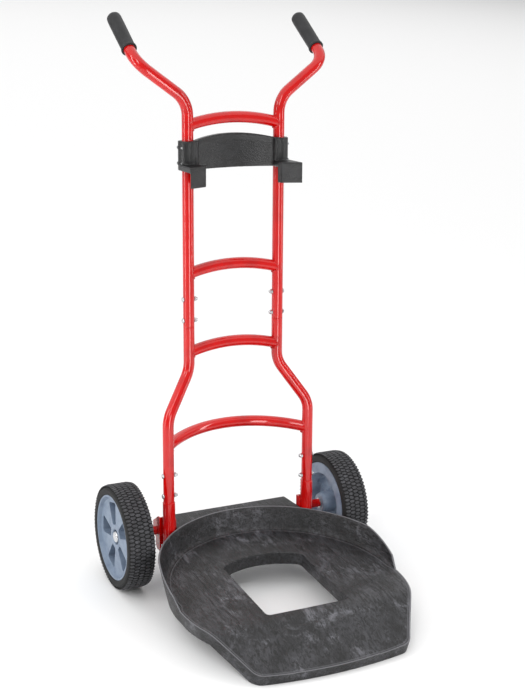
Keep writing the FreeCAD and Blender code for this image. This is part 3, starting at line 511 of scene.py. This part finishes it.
def reach(outline: list[Vector], centre: Vector, angle: float) -> float:
    """Distance from a centre to a closed flat outline, in the direction of an angle from +Y."""
    ray = Vector((math.sin(angle), math.cos(angle)))
    best = 0.0
    for start, end in zip(outline, outline[1:] + outline[:1]):
        along = end - start
        offset = start - centre
        across = ray.x * along.y - ray.y * along.x
        if abs(across) < 1e-9:
            continue
        distance = (offset.x * along.y - offset.y * along.x) / across
        share = (offset.x * ray.y - offset.y * ray.x) / across
        if distance > 0 and -1e-6 <= share <= 1 + 1e-6:
            best = max(best, distance)
    return best


def rounded(radii: list[float], window: int) -> list[float]:
    """Rounds a ring of distances by averaging each over its neighbours."""
    count = len(radii)
    span = range(-window, window + 1)
    return [sum(radii[(index + step) % count] for step in span) / len(span) for index in range(count)]


# ---- tray ------------------------------------------------------------------------------------
@dataclass
class Tray:
    """The moulded tray: deck with an opening, ramp to the nose, curved wall and axle block.

    All lengths are in millimetres in the tray's coordinates.
    """

    centre: Vector = field(default_factory=lambda: Vector((0, -273)))
    radius: float = 266.0
    lean: float = 10.0
    wall: float = 4.4
    wall_height: float = 50.0
    wall_fall: float = -190.0
    wall_end: float = -303.0
    deck: float = 80.0
    depth: float = 30.0
    side: float = 243.0
    ramp_start: float = -403.0
    ramp_slope: float = 0.569
    nose_side: float = 187.0
    nose_corner: float = -518.0
    nose_front: float = -538.0
    nose_height: float = 18.0
    opening_half: float = 97.7
    opening_front: float = -381.0
    opening_back: float = -160.0
    opening_arch: float = 30.0
    pad_rise: float = 3.0
    block_half: float = 150.0
    block_splay: float = 8.0
    block_back: float = 34.0
    block_knee: float = -24.0
    around: int = 600
    deck_rows: int = 64
    # rows of a section that take the painted rim highlight, with its strength
    highlight_rows: dict[int, float] = field(default_factory=dict)

    def outline(self) -> list[Vector]:
        """The tray's plan at the height of the deck."""
        turn = math.sqrt(self.radius ** 2 - (self.wall_end - self.centre.y) ** 2)
        belly = Vector(((turn + self.side) / 2 + 6, (self.wall_end + self.ramp_start) / 2))
        back = arc_points(Vector((-turn, self.wall_end)), Vector((0, self.centre.y + self.radius)),
                          Vector((turn, self.wall_end)), 160)
        flank = arc_points(Vector((turn, self.wall_end)), belly, Vector((self.side, self.ramp_start)), 24)
        nose = arc_points(Vector((self.nose_side, self.nose_corner)), Vector((0, self.nose_front)),
                          Vector((-self.nose_side, self.nose_corner)), 60)
        other = [Vector((-point.x, point.y)) for point in reversed(flank)]
        return back + flank[1:] + nose + other[:-1]

    def opening(self) -> list[Vector]:
        """The plan of the opening in the deck."""
        back = arc_points(Vector((-self.opening_half, self.opening_back)),
                          Vector((0, self.opening_back + self.opening_arch)),
                          Vector((self.opening_half, self.opening_back)), 40)
        front = [Vector((self.opening_half, self.opening_front)), Vector((-self.opening_half, self.opening_front))]
        return back + front

    def deck_z(self, x: float, y: float) -> float:
        """Height of the deck, the ramp and the raised front pad."""
        ease = 7.0
        fall = ease * math.log1p(math.exp((self.ramp_start - y) / ease))
        lip = ease * math.log1p(math.exp((y - self.nose_corner - 6) / ease)) / ease
        slope = self.deck - self.ramp_slope * fall
        floor = self.nose_height
        height = floor + ease * math.log1p(math.exp((slope - floor) / ease)) if slope < floor + 60 else slope
        pad = (1 - smoothstep(abs(x), self.opening_half - 1.5, self.opening_half + 1.5))
        return height + self.pad_rise * pad * smoothstep(-y, 421, 429) * min(1.0, lip)

    def skirt_z(self, y: float) -> float:
        """Height of the skirt's lower edge."""
        fall = max(0.0, self.ramp_start - y) * self.ramp_slope
        return max(0.6, self.deck - self.depth - fall)

    def wall_z(self, y: float) -> float:
        """Height of the curved wall above the deck, for a foot at the given y."""
        front = self.wall_end + 22
        share = min(1.0, max(0.0, (self.wall_fall - y) / (self.wall_fall - front)))
        end = min(1.0, max(0.0, (y - self.wall_end) / (front - self.wall_end)))
        return (self.wall_height - 28 * share ** 1.2) * end

    def section(self, angle: float, inner: float, outer: float) -> list[Vector]:
        """One radial section, from under the opening's edge over the wall to the skirt's edge.

        Args:
            angle: the section's direction from +Y towards +X.
            inner: distance from the centre to the opening.
            outer: distance from the centre to the outline.

        Returns:
            The section's points, always the same number of them.
        """
        ray = Vector((math.sin(angle), math.cos(angle)))
        foot = self.centre + ray * (outer - self.wall)
        height = self.wall_z(foot.y)
        outer += self.lean * (self.deck_z(foot.x, foot.y) - self.deck) / self.wall_height
        foot = self.centre + ray * (outer - self.wall)
        shift = smoothstep(foot.y, self.wall_end - 80, self.wall_end)

        def point(distance: float, level: float, rise: float = 0.0) -> Vector:
            """A point of the section that leans by its rise above the deck."""
            tilt = self.lean * rise / self.wall_height
            place = self.centre + ray * (distance + tilt)
            return Vector((place.x, place.y + tilt * shift, level))

        def on_deck(distance: float) -> Vector:
            """A point on the deck's surface."""
            place = self.centre + ray * distance
            return Vector((place.x, place.y, self.deck_z(place.x, place.y)))

        edge = self.centre + ray * inner
        under = self.skirt_z(edge.y)
        top = self.deck_z(edge.x, edge.y)
        lip = 3.5
        points = [point(inner + 5, under), point(inner + 0.5, under), point(inner, under + 1.5)]
        points += [point(inner, under + (top - lip - under) * step / 3) for step in (1, 2)]
        for step in range(5):
            turn = math.pi / 2 * step / 4
            points.append(point(inner + lip * (1 - math.cos(turn)), top - lip * (1 - math.sin(turn))))
        cove = min(7.0, height * 0.4)
        start = inner + lip
        end = outer - self.wall - cove
        for step in range(1, self.deck_rows + 1):
            points.append(on_deck(start + (end - start) * step / self.deck_rows))
        points[-2].z += 0.9 * min(1.0, height / 10)
        # the deck's last row before the cove takes half the painted highlight
        self.highlight_rows[len(points) - 2] = 0.5
        base = self.deck_z(foot.x, foot.y)
        for step in range(1, 6):
            turn = math.pi / 2 * step / 5
            rise = cove * (1 - math.cos(turn))
            points.append(point(end + cove * math.sin(turn), base + rise, rise))
        for step in range(1, 6):
            rise = cove + max(0.0, height - cove) * step / 5
            points.append(point(outer - self.wall, base + rise, rise))
        edge = 0.9
        points[-1].z -= edge
        # the three rows across the wall's top take the full painted highlight
        self.highlight_rows.update({row: 1.0 for row in range(len(points), len(points) + 3)})
        points.append(point(outer - self.wall + edge, base + height, height))
        points.append(point(outer - self.wall / 2, base + height + 0.15, height))
        points.append(point(outer - edge, base + height, height))
        low = self.skirt_z(self.centre.y + ray.y * outer)
        brim = base + height - edge
        for step in range(0, 9):
            level = brim - (brim - low) * step / 8
            points.append(point(outer, level, level - base))
        points.append(point(outer - 5, low, low - base))
        points.append(point(inner + 5, under))
        return points

    def shell(self, mesh: bmesh.types.BMesh) -> None:
        """Lays a grid round the tray, one section after another."""
        angles = [TURN * step / self.around for step in range(self.around)]
        inner = rounded([reach(self.opening(), self.centre, angle) for angle in angles], 5)
        outer = rounded([reach(self.outline(), self.centre, angle) for angle in angles], 4)
        sections = [self.section(*facts) for facts in zip(angles, inner, outer)]
        rows = len(sections[0]) - 1
        # mesh layer that marks where the painted highlight goes
        painted_highlight = mesh.verts.layers.float.new(FoamMoulding.painted_highlight_layer)
        made = bmesh.ops.create_grid(mesh, x_segments=self.around, y_segments=rows, size=1)
        for vertex in made["verts"]:
            column = round((vertex.co.x + 1) / 2 * self.around) % self.around
            row = round((vertex.co.y + 1) / 2 * rows)
            vertex.co = sections[column][row]
            vertex[painted_highlight] = self.highlight_rows.get(row, 0.0)
        bmesh.ops.remove_doubles(mesh, verts=mesh.verts, dist=0.01)
        bmesh.ops.recalc_face_normals(mesh, faces=mesh.faces)

    def block(self, mesh: bmesh.types.BMesh) -> None:
        """The block behind the wall that takes the axles, with rounded edges."""
        top = self.deck + self.wall_height
        radius = self.radius + self.lean - self.wall / 2
        centre = self.centre.y + self.lean
        wide = self.block_half + self.block_splay
        limit = math.asin(wide / radius)
        front = [Vector((radius * math.sin(limit * step / 16), centre + radius * math.cos(limit * step / 16)))
                 for step in range(-16, 17)]
        plan = front + [Vector((wide, self.block_knee)), Vector((self.block_half, self.block_back)),
                        Vector((-self.block_half, self.block_back)), Vector((-wide, self.block_knee))]
        ring = [mesh.verts.new((point.x, point.y, top)) for point in plan]
        lid = mesh.faces.new(ring)
        made = bmesh.ops.extrude_face_region(mesh, geom=[lid])
        moved = [item for item in made["geom"] if isinstance(item, bmesh.types.BMVert)]
        bmesh.ops.translate(mesh, vec=(0, 0, self.deck - self.depth - top), verts=moved)
        outer = [edge for edge in mesh.edges if max(vertex.co.y for vertex in edge.verts) > self.block_knee + 1
                 and edge.calc_face_angle(0.0) > 0.2 and all(abs(vertex.co.x) > 20 for vertex in edge.verts)]
        bmesh.ops.recalc_face_normals(mesh, faces=mesh.faces)
        bmesh.ops.bevel(mesh, geom=outer, offset=3.0, segments=3, affect="EDGES", profile=0.5, material=-1)

    def build(self) -> None:
        """Makes the tray as one piece that stands for the CAD tray."""
        mesh = bmesh.new()
        self.shell(mesh)
        block = bmesh.new()
        self.block(block)
        holder = bpy.data.meshes.new("tray_block")
        block.to_mesh(holder)
        block.free()
        mesh.from_mesh(holder)
        bpy.data.meshes.remove(holder)
        publish(mesh, "moulded_tray", DATUM.tray, [TRAY_FOAM], "truck", ("tray",), 40)


# ---- wheels ----------------------------------------------------------------------------------
@dataclass
class Tyre:
    """A solid rubber tyre with interlocking hexagonal tread blocks, in millimetres."""

    side: Side
    crown: float = 120.0
    rim: float = 97.05
    width: float = 63.6
    inner_plane: float = 239.1
    groove: float = 2.6
    rows: int = 84
    columns: int = 5
    gap: float = 2.1

    def carcass(self, mesh: bmesh.types.BMesh) -> None:
        """The tyre's body under the tread blocks."""
        base = self.crown - self.groove
        half = [(2.5, self.rim), (0.4, self.rim + 2.5), (0, self.rim + 6), (0, self.crown - 11),
                (2, self.crown - 7.5), (7, base - 2), (15, base)]
        outline = half + [(self.width - x, radius) for x, radius in reversed(half)]
        revolve(mesh, outline, 144)

    def blocks(self, mesh: bmesh.types.BMesh) -> None:
        """Hexagonal blocks in offset rows; the outer columns follow the shoulder."""
        pitch = self.width / self.columns
        length = TURN * self.crown / self.rows
        long_half = pitch / 0.75 / 2 - self.gap * 0.58
        short_half = (length - self.gap) / 2
        stamp = bmesh.new()
        hexagon = bmesh.ops.create_circle(stamp, cap_ends=True, radius=1, segments=6)
        for vertex in hexagon["verts"]:
            angle = math.atan2(vertex.co.y, vertex.co.x)
            step = round(angle / (math.pi / 3) - 0.5)
            turn = (step + 0.5) * math.pi / 3 + math.pi / 6
            vertex.co = Vector((long_half * math.cos(turn), short_half * math.sin(turn) / math.sin(math.pi / 3), 0))
        lid = stamp.faces[:]
        raised = bmesh.ops.extrude_face_region(stamp, geom=lid)
        tops = [item for item in raised["geom"] if isinstance(item, bmesh.types.BMVert)]
        bmesh.ops.translate(stamp, vec=(0, 0, self.groove + 0.5), verts=tops)
        bmesh.ops.recalc_face_normals(stamp, faces=stamp.faces)
        upper = [edge for edge in stamp.edges if all(vertex.co.z > 1 for vertex in edge.verts)]
        bmesh.ops.bevel(stamp, geom=upper, offset=0.7, segments=1, affect="EDGES", profile=0.5, material=-1)
        for face in stamp.faces:
            # block tops take the paler rubber and the sides the black one: partly wear, partly painted light and
            # shade
            face.material_index = 1 if face.normal.z > 0.5 else 0
        holder = bpy.data.meshes.new("tread_block")
        stamp.to_mesh(holder)
        stamp.free()
        for row in range(self.rows):
            for column in range(self.columns):
                across = (column - (self.columns - 1) / 2) * pitch
                turn = TURN * (row + (column % 2) / 2) / self.rows
                edge = abs(across) / (self.width / 2)
                drop = 4.2 * max(0.0, edge - 0.35) ** 2
                slope = math.copysign(math.radians(13) * max(0.0, edge - 0.5) / 0.3, across)
                fit = Matrix.Diagonal((0.86 if edge > 0.7 else 1.0, 1, 1, 1))
                inwards = -math.copysign(1.6, across) if edge > 0.7 else 0.0
                place = (Matrix.Rotation(turn, 4, "X")
                         @ Matrix.Translation((self.width / 2 + across + inwards, 0,
                                               self.crown - self.groove - 0.5 - drop))
                         @ Matrix.Rotation(slope, 4, "Y") @ fit)
                before = len(mesh.verts)
                mesh.from_mesh(holder)
                mesh.verts.ensure_lookup_table()
                bmesh.ops.transform(mesh, matrix=place, verts=mesh.verts[before:])
        bpy.data.meshes.remove(holder)

    def build(self) -> None:
        """Makes the tyre, which stands for the CAD tyre."""
        mesh = bmesh.new()
        self.carcass(mesh)
        self.blocks(mesh)
        word = self.side.word
        publish(mesh, f"treaded_tyre_{word}", DATUM.axle(self.inner_plane, self.side),
                [TYRE_RUBBER, TREAD_TOP], f"wheel_{word}", (f"tyre_{word}",), 28)


# ---- cradle ----------------------------------------------------------------------------------
@dataclass
class Cradle:
    """The moulded cradle on the uprights: bowed panel, half collars and two hooked arms.

    All lengths are in millimetres in the leaning frame's coordinates.
    """

    low: float = 819.0
    height: float = 62.0
    half: float = 110.2
    collar: float = 21.0
    arch: float = 13.0
    bow: float = 20.0
    thickness: float = 15.0
    arm_reach: float = 62.0
    arm_width: float = 47.0
    arm_thickness: float = 12.0
    pad_height: float = 45.0
    pad_depth: float = 11.0
    arm_turn: float = 22.0
    voxel: float = 1.5

    def panel(self, mesh: bmesh.types.BMesh) -> None:
        """The bowed panel with its arched top and a rim along it."""
        made = bmesh.ops.create_grid(mesh, x_segments=48, y_segments=12, size=1)
        faces = mesh.faces[:]
        for vertex in made["verts"]:
            across = vertex.co.x
            share = (vertex.co.y + 1) / 2
            top = self.height + self.arch * (1 - across ** 2)
            rim = -2.2 * smoothstep(share, 0.88, 0.93)
            front = -self.thickness + self.bow * (1 - across ** 2) + rim
            vertex.co = Vector((across * (self.half - 8), front, self.low + top * share))
        raised = bmesh.ops.extrude_face_region(mesh, geom=faces)
        backs = [item for item in raised["geom"] if isinstance(item, bmesh.types.BMVert)]
        for vertex in backs:
            across = vertex.co.x / (self.half - 8)
            vertex.co.y = -1 + self.bow * (1 - across ** 2)

    def collars(self, mesh: bmesh.types.BMesh) -> None:
        """Half collars in front of the uprights, each with a rib where the panel starts."""
        for side in Side:
            centre = Vector((side.value * self.half, 0, self.low + self.height / 2))
            made = bmesh.ops.create_cone(mesh, cap_ends=True, segments=64, radius1=self.collar,
                                         radius2=self.collar, depth=self.height,
                                         matrix=Matrix.Translation(centre))
            faces = list({face for vertex in made["verts"] for face in vertex.link_faces})
            edges = list({edge for vertex in made["verts"] for edge in vertex.link_edges})
            cut = bmesh.ops.bisect_plane(mesh, geom=made["verts"] + edges + faces, plane_co=(0, -0.2, 0),
                                         plane_no=(0, 1, 0), clear_outer=True)
            rim = [item for item in cut["geom_cut"] if isinstance(item, bmesh.types.BMEdge)]
            bmesh.ops.holes_fill(mesh, edges=rim, sides=0)
            place = Matrix.Translation((side.value * (self.half - 13), -self.collar + 6, centre.z + 1))
            bmesh.ops.create_cone(mesh, cap_ends=True, segments=24, radius1=6, radius2=6,
                                  depth=self.height + 2, matrix=place)

    def arms(self, mesh: bmesh.types.BMesh) -> None:
        """Level arms with a face that hangs from each front."""
        turn = math.radians(self.arm_turn)
        top = self.low + self.arm_thickness
        for side in Side:
            sign = side.value
            middle = Vector((sign * (self.half + 2), -self.arm_reach, 0))
            across = Vector((sign * math.cos(turn), -math.sin(turn), 0)) * self.arm_width / 2
            inwards = Vector((-sign * math.sin(turn), math.cos(turn), 0)) * self.pad_depth
            outer = middle + across
            inner = middle - across
            arm = [outer, inner, Vector((inner.x, -4, 0)), Vector((outer.x, -4, 0))]
            pad = [outer, inner, inner + inwards, outer + inwards]
            for plan, bottom in ((arm, self.low), (pad, top - self.pad_height)):
                ring = [mesh.verts.new((point.x, point.y, bottom)) for point in plan]
                base = mesh.faces.new(ring)
                raised = bmesh.ops.extrude_face_region(mesh, geom=[base])
                moved = [item for item in raised["geom"] if isinstance(item, bmesh.types.BMVert)]
                bmesh.ops.translate(mesh, vec=(0, 0, top - bottom), verts=moved)

    def build(self) -> None:
        """Joins the shapes into one soft-edged moulding that stands for the CAD cradle."""
        mesh = bmesh.new()
        self.panel(mesh)
        self.collars(mesh)
        self.arms(mesh)
        bmesh.ops.recalc_face_normals(mesh, faces=mesh.faces)
        data = bpy.data.meshes.new("cradle_blank")
        mesh.to_mesh(data)
        mesh.free()
        blank = bpy.data.objects.new("cradle_blank", data)
        bpy.context.scene.collection.objects.link(blank)
        remesh = blank.modifiers.new("remesh", "REMESH")
        remesh.mode = "VOXEL"
        remesh.voxel_size = self.voxel
        smooth = blank.modifiers.new("smooth", "SMOOTH")
        smooth.factor = 0.5
        smooth.iterations = 5
        graph = bpy.context.evaluated_depsgraph_get()
        moulded = bpy.data.meshes.new_from_object(blank.evaluated_get(graph))
        bpy.data.objects.remove(blank)
        result = bmesh.new()
        result.from_mesh(moulded)
        bpy.data.meshes.remove(moulded)
        publish(result, "moulded_cradle", DATUM.frame, [CRADLE_PLASTIC], "truck",
                ("cradle",), 60)


# ---- frame details ---------------------------------------------------------------------------
@dataclass
class FrameDetails:
    """Weld beads, swaged beads at the joints, and moulded grips, in the frame's millimetres."""

    tube: float = 12.7
    upper_half: float = 110.2
    lower_half: float = 176.0
    lower_forward: float = 32.0
    joint_low: float = 75.0
    joint_high: float = 468.0
    bars: tuple[tuple[str, float, float, float, float], ...] = (
        # name, half span, forward, height, bow to the rear
        ("top", 110.2, 0.0, 913.5, 6.0),
        ("second", 110.2, 0.0, 589.0, 6.0),
        ("third", 110.2, 0.0, 410.0, 6.0),
        ("fourth", 176.0, 32.0, 207.0, 69.0),
    )
    rise: float = 15.0
    bead: float = 1.3
    grip: float = 16.0
    grip_length: float = 117.0
    handle_half: float = 224.6
    handle_corner: tuple[float, float] = (8.0, 1049.0)
    handle_run: float = 155.0
    handle_rise: float = 35.4

    def beads(self) -> None:
        """A weld bead round both ends of every crossbar, along the line where the tubes meet."""
        mesh = bmesh.new()
        for _, half, forward, height, bow in self.bars:
            for side in Side:
                pitch = math.atan2(4 * self.rise / 2, half * 2) * 0.9
                yaw = math.atan2(4 * bow / 2, half * 2) * 0.9
                for step in range(40):
                    turn = TURN * step / 40
                    back = self.tube * math.cos(turn)
                    up = self.tube * math.sin(turn)
                    inwards = max(4.0, math.sqrt(max(0.0, self.tube ** 2 - back ** 2)))
                    along = inwards + 0.6
                    place = Vector((side.value * (half - along), -forward + back * 0.98 + along * math.tan(yaw),
                                    height + up + along * math.tan(pitch)))
                    bmesh.ops.create_icosphere(mesh, subdivisions=1, radius=2.1,
                                               matrix=Matrix.Translation(place))
        publish(mesh, "weld_beads", DATUM.frame, [RED_ENAMEL], "truck", (), 80)

    def swages(self) -> None:
        """The rolled bead of each telescoping joint."""
        mesh = bmesh.new()
        for half, forward, height in ((self.upper_half, 0.0, self.joint_high),
                                      (self.lower_half, self.lower_forward, self.joint_low)):
            for side in Side:
                ring = bmesh.new()
                section = [(height + 1.5 + self.bead * math.sin(TURN * step / 10),
                            self.tube - self.bead + self.bead * math.cos(TURN * step / 10))
                           for step in range(10)]
                revolve(ring, section, 48)
                upright = Matrix.Translation((side.value * half, -forward, 0)) @ Matrix.Rotation(-math.pi / 2, 4, "Y")
                bmesh.ops.transform(ring, matrix=upright, verts=ring.verts)
                holder = bpy.data.meshes.new("swage")
                ring.to_mesh(holder)
                ring.free()
                mesh.from_mesh(holder)
                bpy.data.meshes.remove(holder)
        publish(mesh, "swaged_beads", DATUM.frame, [RED_ENAMEL], "truck", (), 80)

    def grips(self) -> None:
        """Rubber grips: a rolled cuff, a plain barrel and a rounded closed end."""
        climb = math.radians(self.handle_rise)
        wall = self.grip - self.tube
        outline = [(-self.grip_length, self.tube + 0.1), (-self.grip_length, self.grip + 0.4),
                   (-self.grip_length + 1.2, self.grip + 1.1), (-self.grip_length + 4.5, self.grip + 1.1),
                   (-self.grip_length + 6, self.grip - 0.3), (-self.grip_length + 9, self.grip - 0.5),
                   (-60, self.grip - 0.1), (-12, self.grip), (-5, self.grip - 0.8), (-1.8, self.grip - 3.2),
                   (-0.4, self.grip - 7.5), (0, 0.01)]
        for side in Side:
            mesh = bmesh.new()
            revolve(mesh, outline, 64, closed=False)
            tip = Vector((side.value * self.handle_half,
                          self.handle_corner[0] + math.cos(climb) * self.handle_run,
                          self.handle_corner[1] + math.sin(climb) * self.handle_run))
            along = Vector((0, math.cos(climb), math.sin(climb)))
            place = Matrix.Translation(tip + along * wall) @ along.to_track_quat("X", "Z").to_matrix().to_4x4()
            word = side.word
            publish(mesh, f"rubber_grip_{word}", DATUM.frame @ place, [GRIP_RUBBER], "truck",
                    (f"grip_{word}",), 50)

    def build(self) -> None:
        """Makes all the details."""
        self.beads()
        self.swages()
        self.grips()


# ---- carried-over nodes ----------------------------------------------------------------------
class CarriedNodes:
    """Gives every CAD node that still shows the finish of its material slot."""

    @staticmethod
    def build() -> None:
        """Dresses the nodes."""
        slots = {entry["node"]: entry["material_slot"] for entry in frame["record"]["subparts"]}
        for name, node in frame["nodes"].items():
            material = SLOT_FINISHES[slots[name]].build()
            for place in node.material_slots:
                place.material = material
            LOG.info("%s: finished as %s", name, material.name)


# ---- studio ----------------------------------------------------------------------------------
@dataclass
class Studio:
    """White sweep, soft lights and the camera.  Lengths in metres, angles in degrees."""

    eye: Vector = field(default_factory=lambda: Vector((-1.2962, -2.5045, 1.5112)))
    azimuth: float = 26.65
    elevation: float = 19.18
    roll: float = 2.83
    lens: float = 70.91
    shift: tuple[float, float] = (0.018, 0.0031)
    surroundings: float = 0.38
    ceiling: float = 26.0

    def floor(self) -> None:
        """A plain white floor."""
        mesh = bmesh.new()
        bmesh.ops.create_grid(mesh, x_segments=1, y_segments=1, size=30)
        data = bpy.data.meshes.new("floor")
        mesh.to_mesh(data)
        mesh.free()
        material = bpy.data.materials.new("white_paper")
        material.use_nodes = True
        shader = material.node_tree.nodes["Principled BSDF"]
        shader.inputs["Base Color"].default_value = linear("f4f4f4")
        shader.inputs["Roughness"].default_value = 0.9
        data.materials.append(material)
        floor = bpy.data.objects.new("floor", data)
        bpy.context.scene.collection.objects.link(floor)

    def world(self) -> None:
        """Even surroundings, dimmer than the ceiling light."""
        world = bpy.data.worlds.new("studio")
        bpy.context.scene.world = world
        world.use_nodes = True
        sky = world.node_tree.nodes["Background"]
        sky.inputs["Color"].default_value = (1, 1, 1, 1)
        sky.inputs["Strength"].default_value = self.surroundings

    def lamp(self, name: str, place: tuple[float, float, float], aim: tuple[float, float, float],
             size: tuple[float, float], power: float) -> None:
        """Adds one softbox.

        Args:
            name: the light's name.
            place: where it stands.
            aim: the point that it faces.
            size: its width and height.
            power: in watts.
        """
        light = bpy.data.lights.new(name, "AREA")
        light.shape = "RECTANGLE"
        light.size, light.size_y = size
        light.energy = power
        lamp = bpy.data.objects.new(name, light)
        lamp.location = place
        lamp.rotation_euler = (Vector(aim) - Vector(place)).to_track_quat("-Z", "Y").to_euler()
        bpy.context.scene.collection.objects.link(lamp)

    def camera(self) -> None:
        """The camera, held nearly level."""
        azimuth, elevation, roll = (math.radians(value) for value in (self.azimuth, self.elevation, self.roll))
        look = Matrix.Rotation(-azimuth, 4, "Z") @ Matrix.Rotation(math.pi / 2 - elevation, 4, "X")
        tilt = Matrix.Rotation(math.radians(DATUM.tray_tilt), 4, "X")
        data = bpy.data.cameras.new("camera")
        data.sensor_width = 36
        data.lens = self.lens
        data.shift_x, data.shift_y = self.shift
        camera = bpy.data.objects.new("camera", data)
        camera.matrix_world = Matrix.Translation(self.eye) @ tilt @ look @ Matrix.Rotation(roll, 4, "Z")
        bpy.context.scene.collection.objects.link(camera)
        bpy.context.scene.camera = camera

    def build(self) -> None:
        """Sets the studio up."""
        bpy.context.scene.view_settings.view_transform = "Standard"
        self.floor()
        self.world()
        self.camera()
        radiance = 0.85
        self.lamp("ceiling", (0, 9, 6), (0, 9, 0), (self.ceiling, self.ceiling),
                  radiance * math.pi * self.ceiling ** 2)
        self.lamp("key", (-2.4, -2.6, 3.2), (0, -0.1, 0.6), (0.9, 1.8), 32)
        self.lamp("strip_left", (-2.6, 0.2, 1.2), (0, 0, 0.6), (0.35, 2.4), 26)
        self.lamp("strip_low", (-0.15, -1.75, 0.55), (0, 0.2, 0.6), (0.5, 1.1), 12)
        self.lamp("strip_right", (2.4, -1.6, 1.4), (0, 0, 0.6), (0.3, 2.4), 20)


def main() -> None:
    """Builds every sub-assembly in order."""
    logging.basicConfig(level=logging.INFO, format="%(message)s")
    Studio().build()
    CarriedNodes.build()
    Tray().build()
    Cradle().build()
    FrameDetails().build()
    for side in Side:
        Tyre(side).build()


if __name__ == "__main__":
    main()
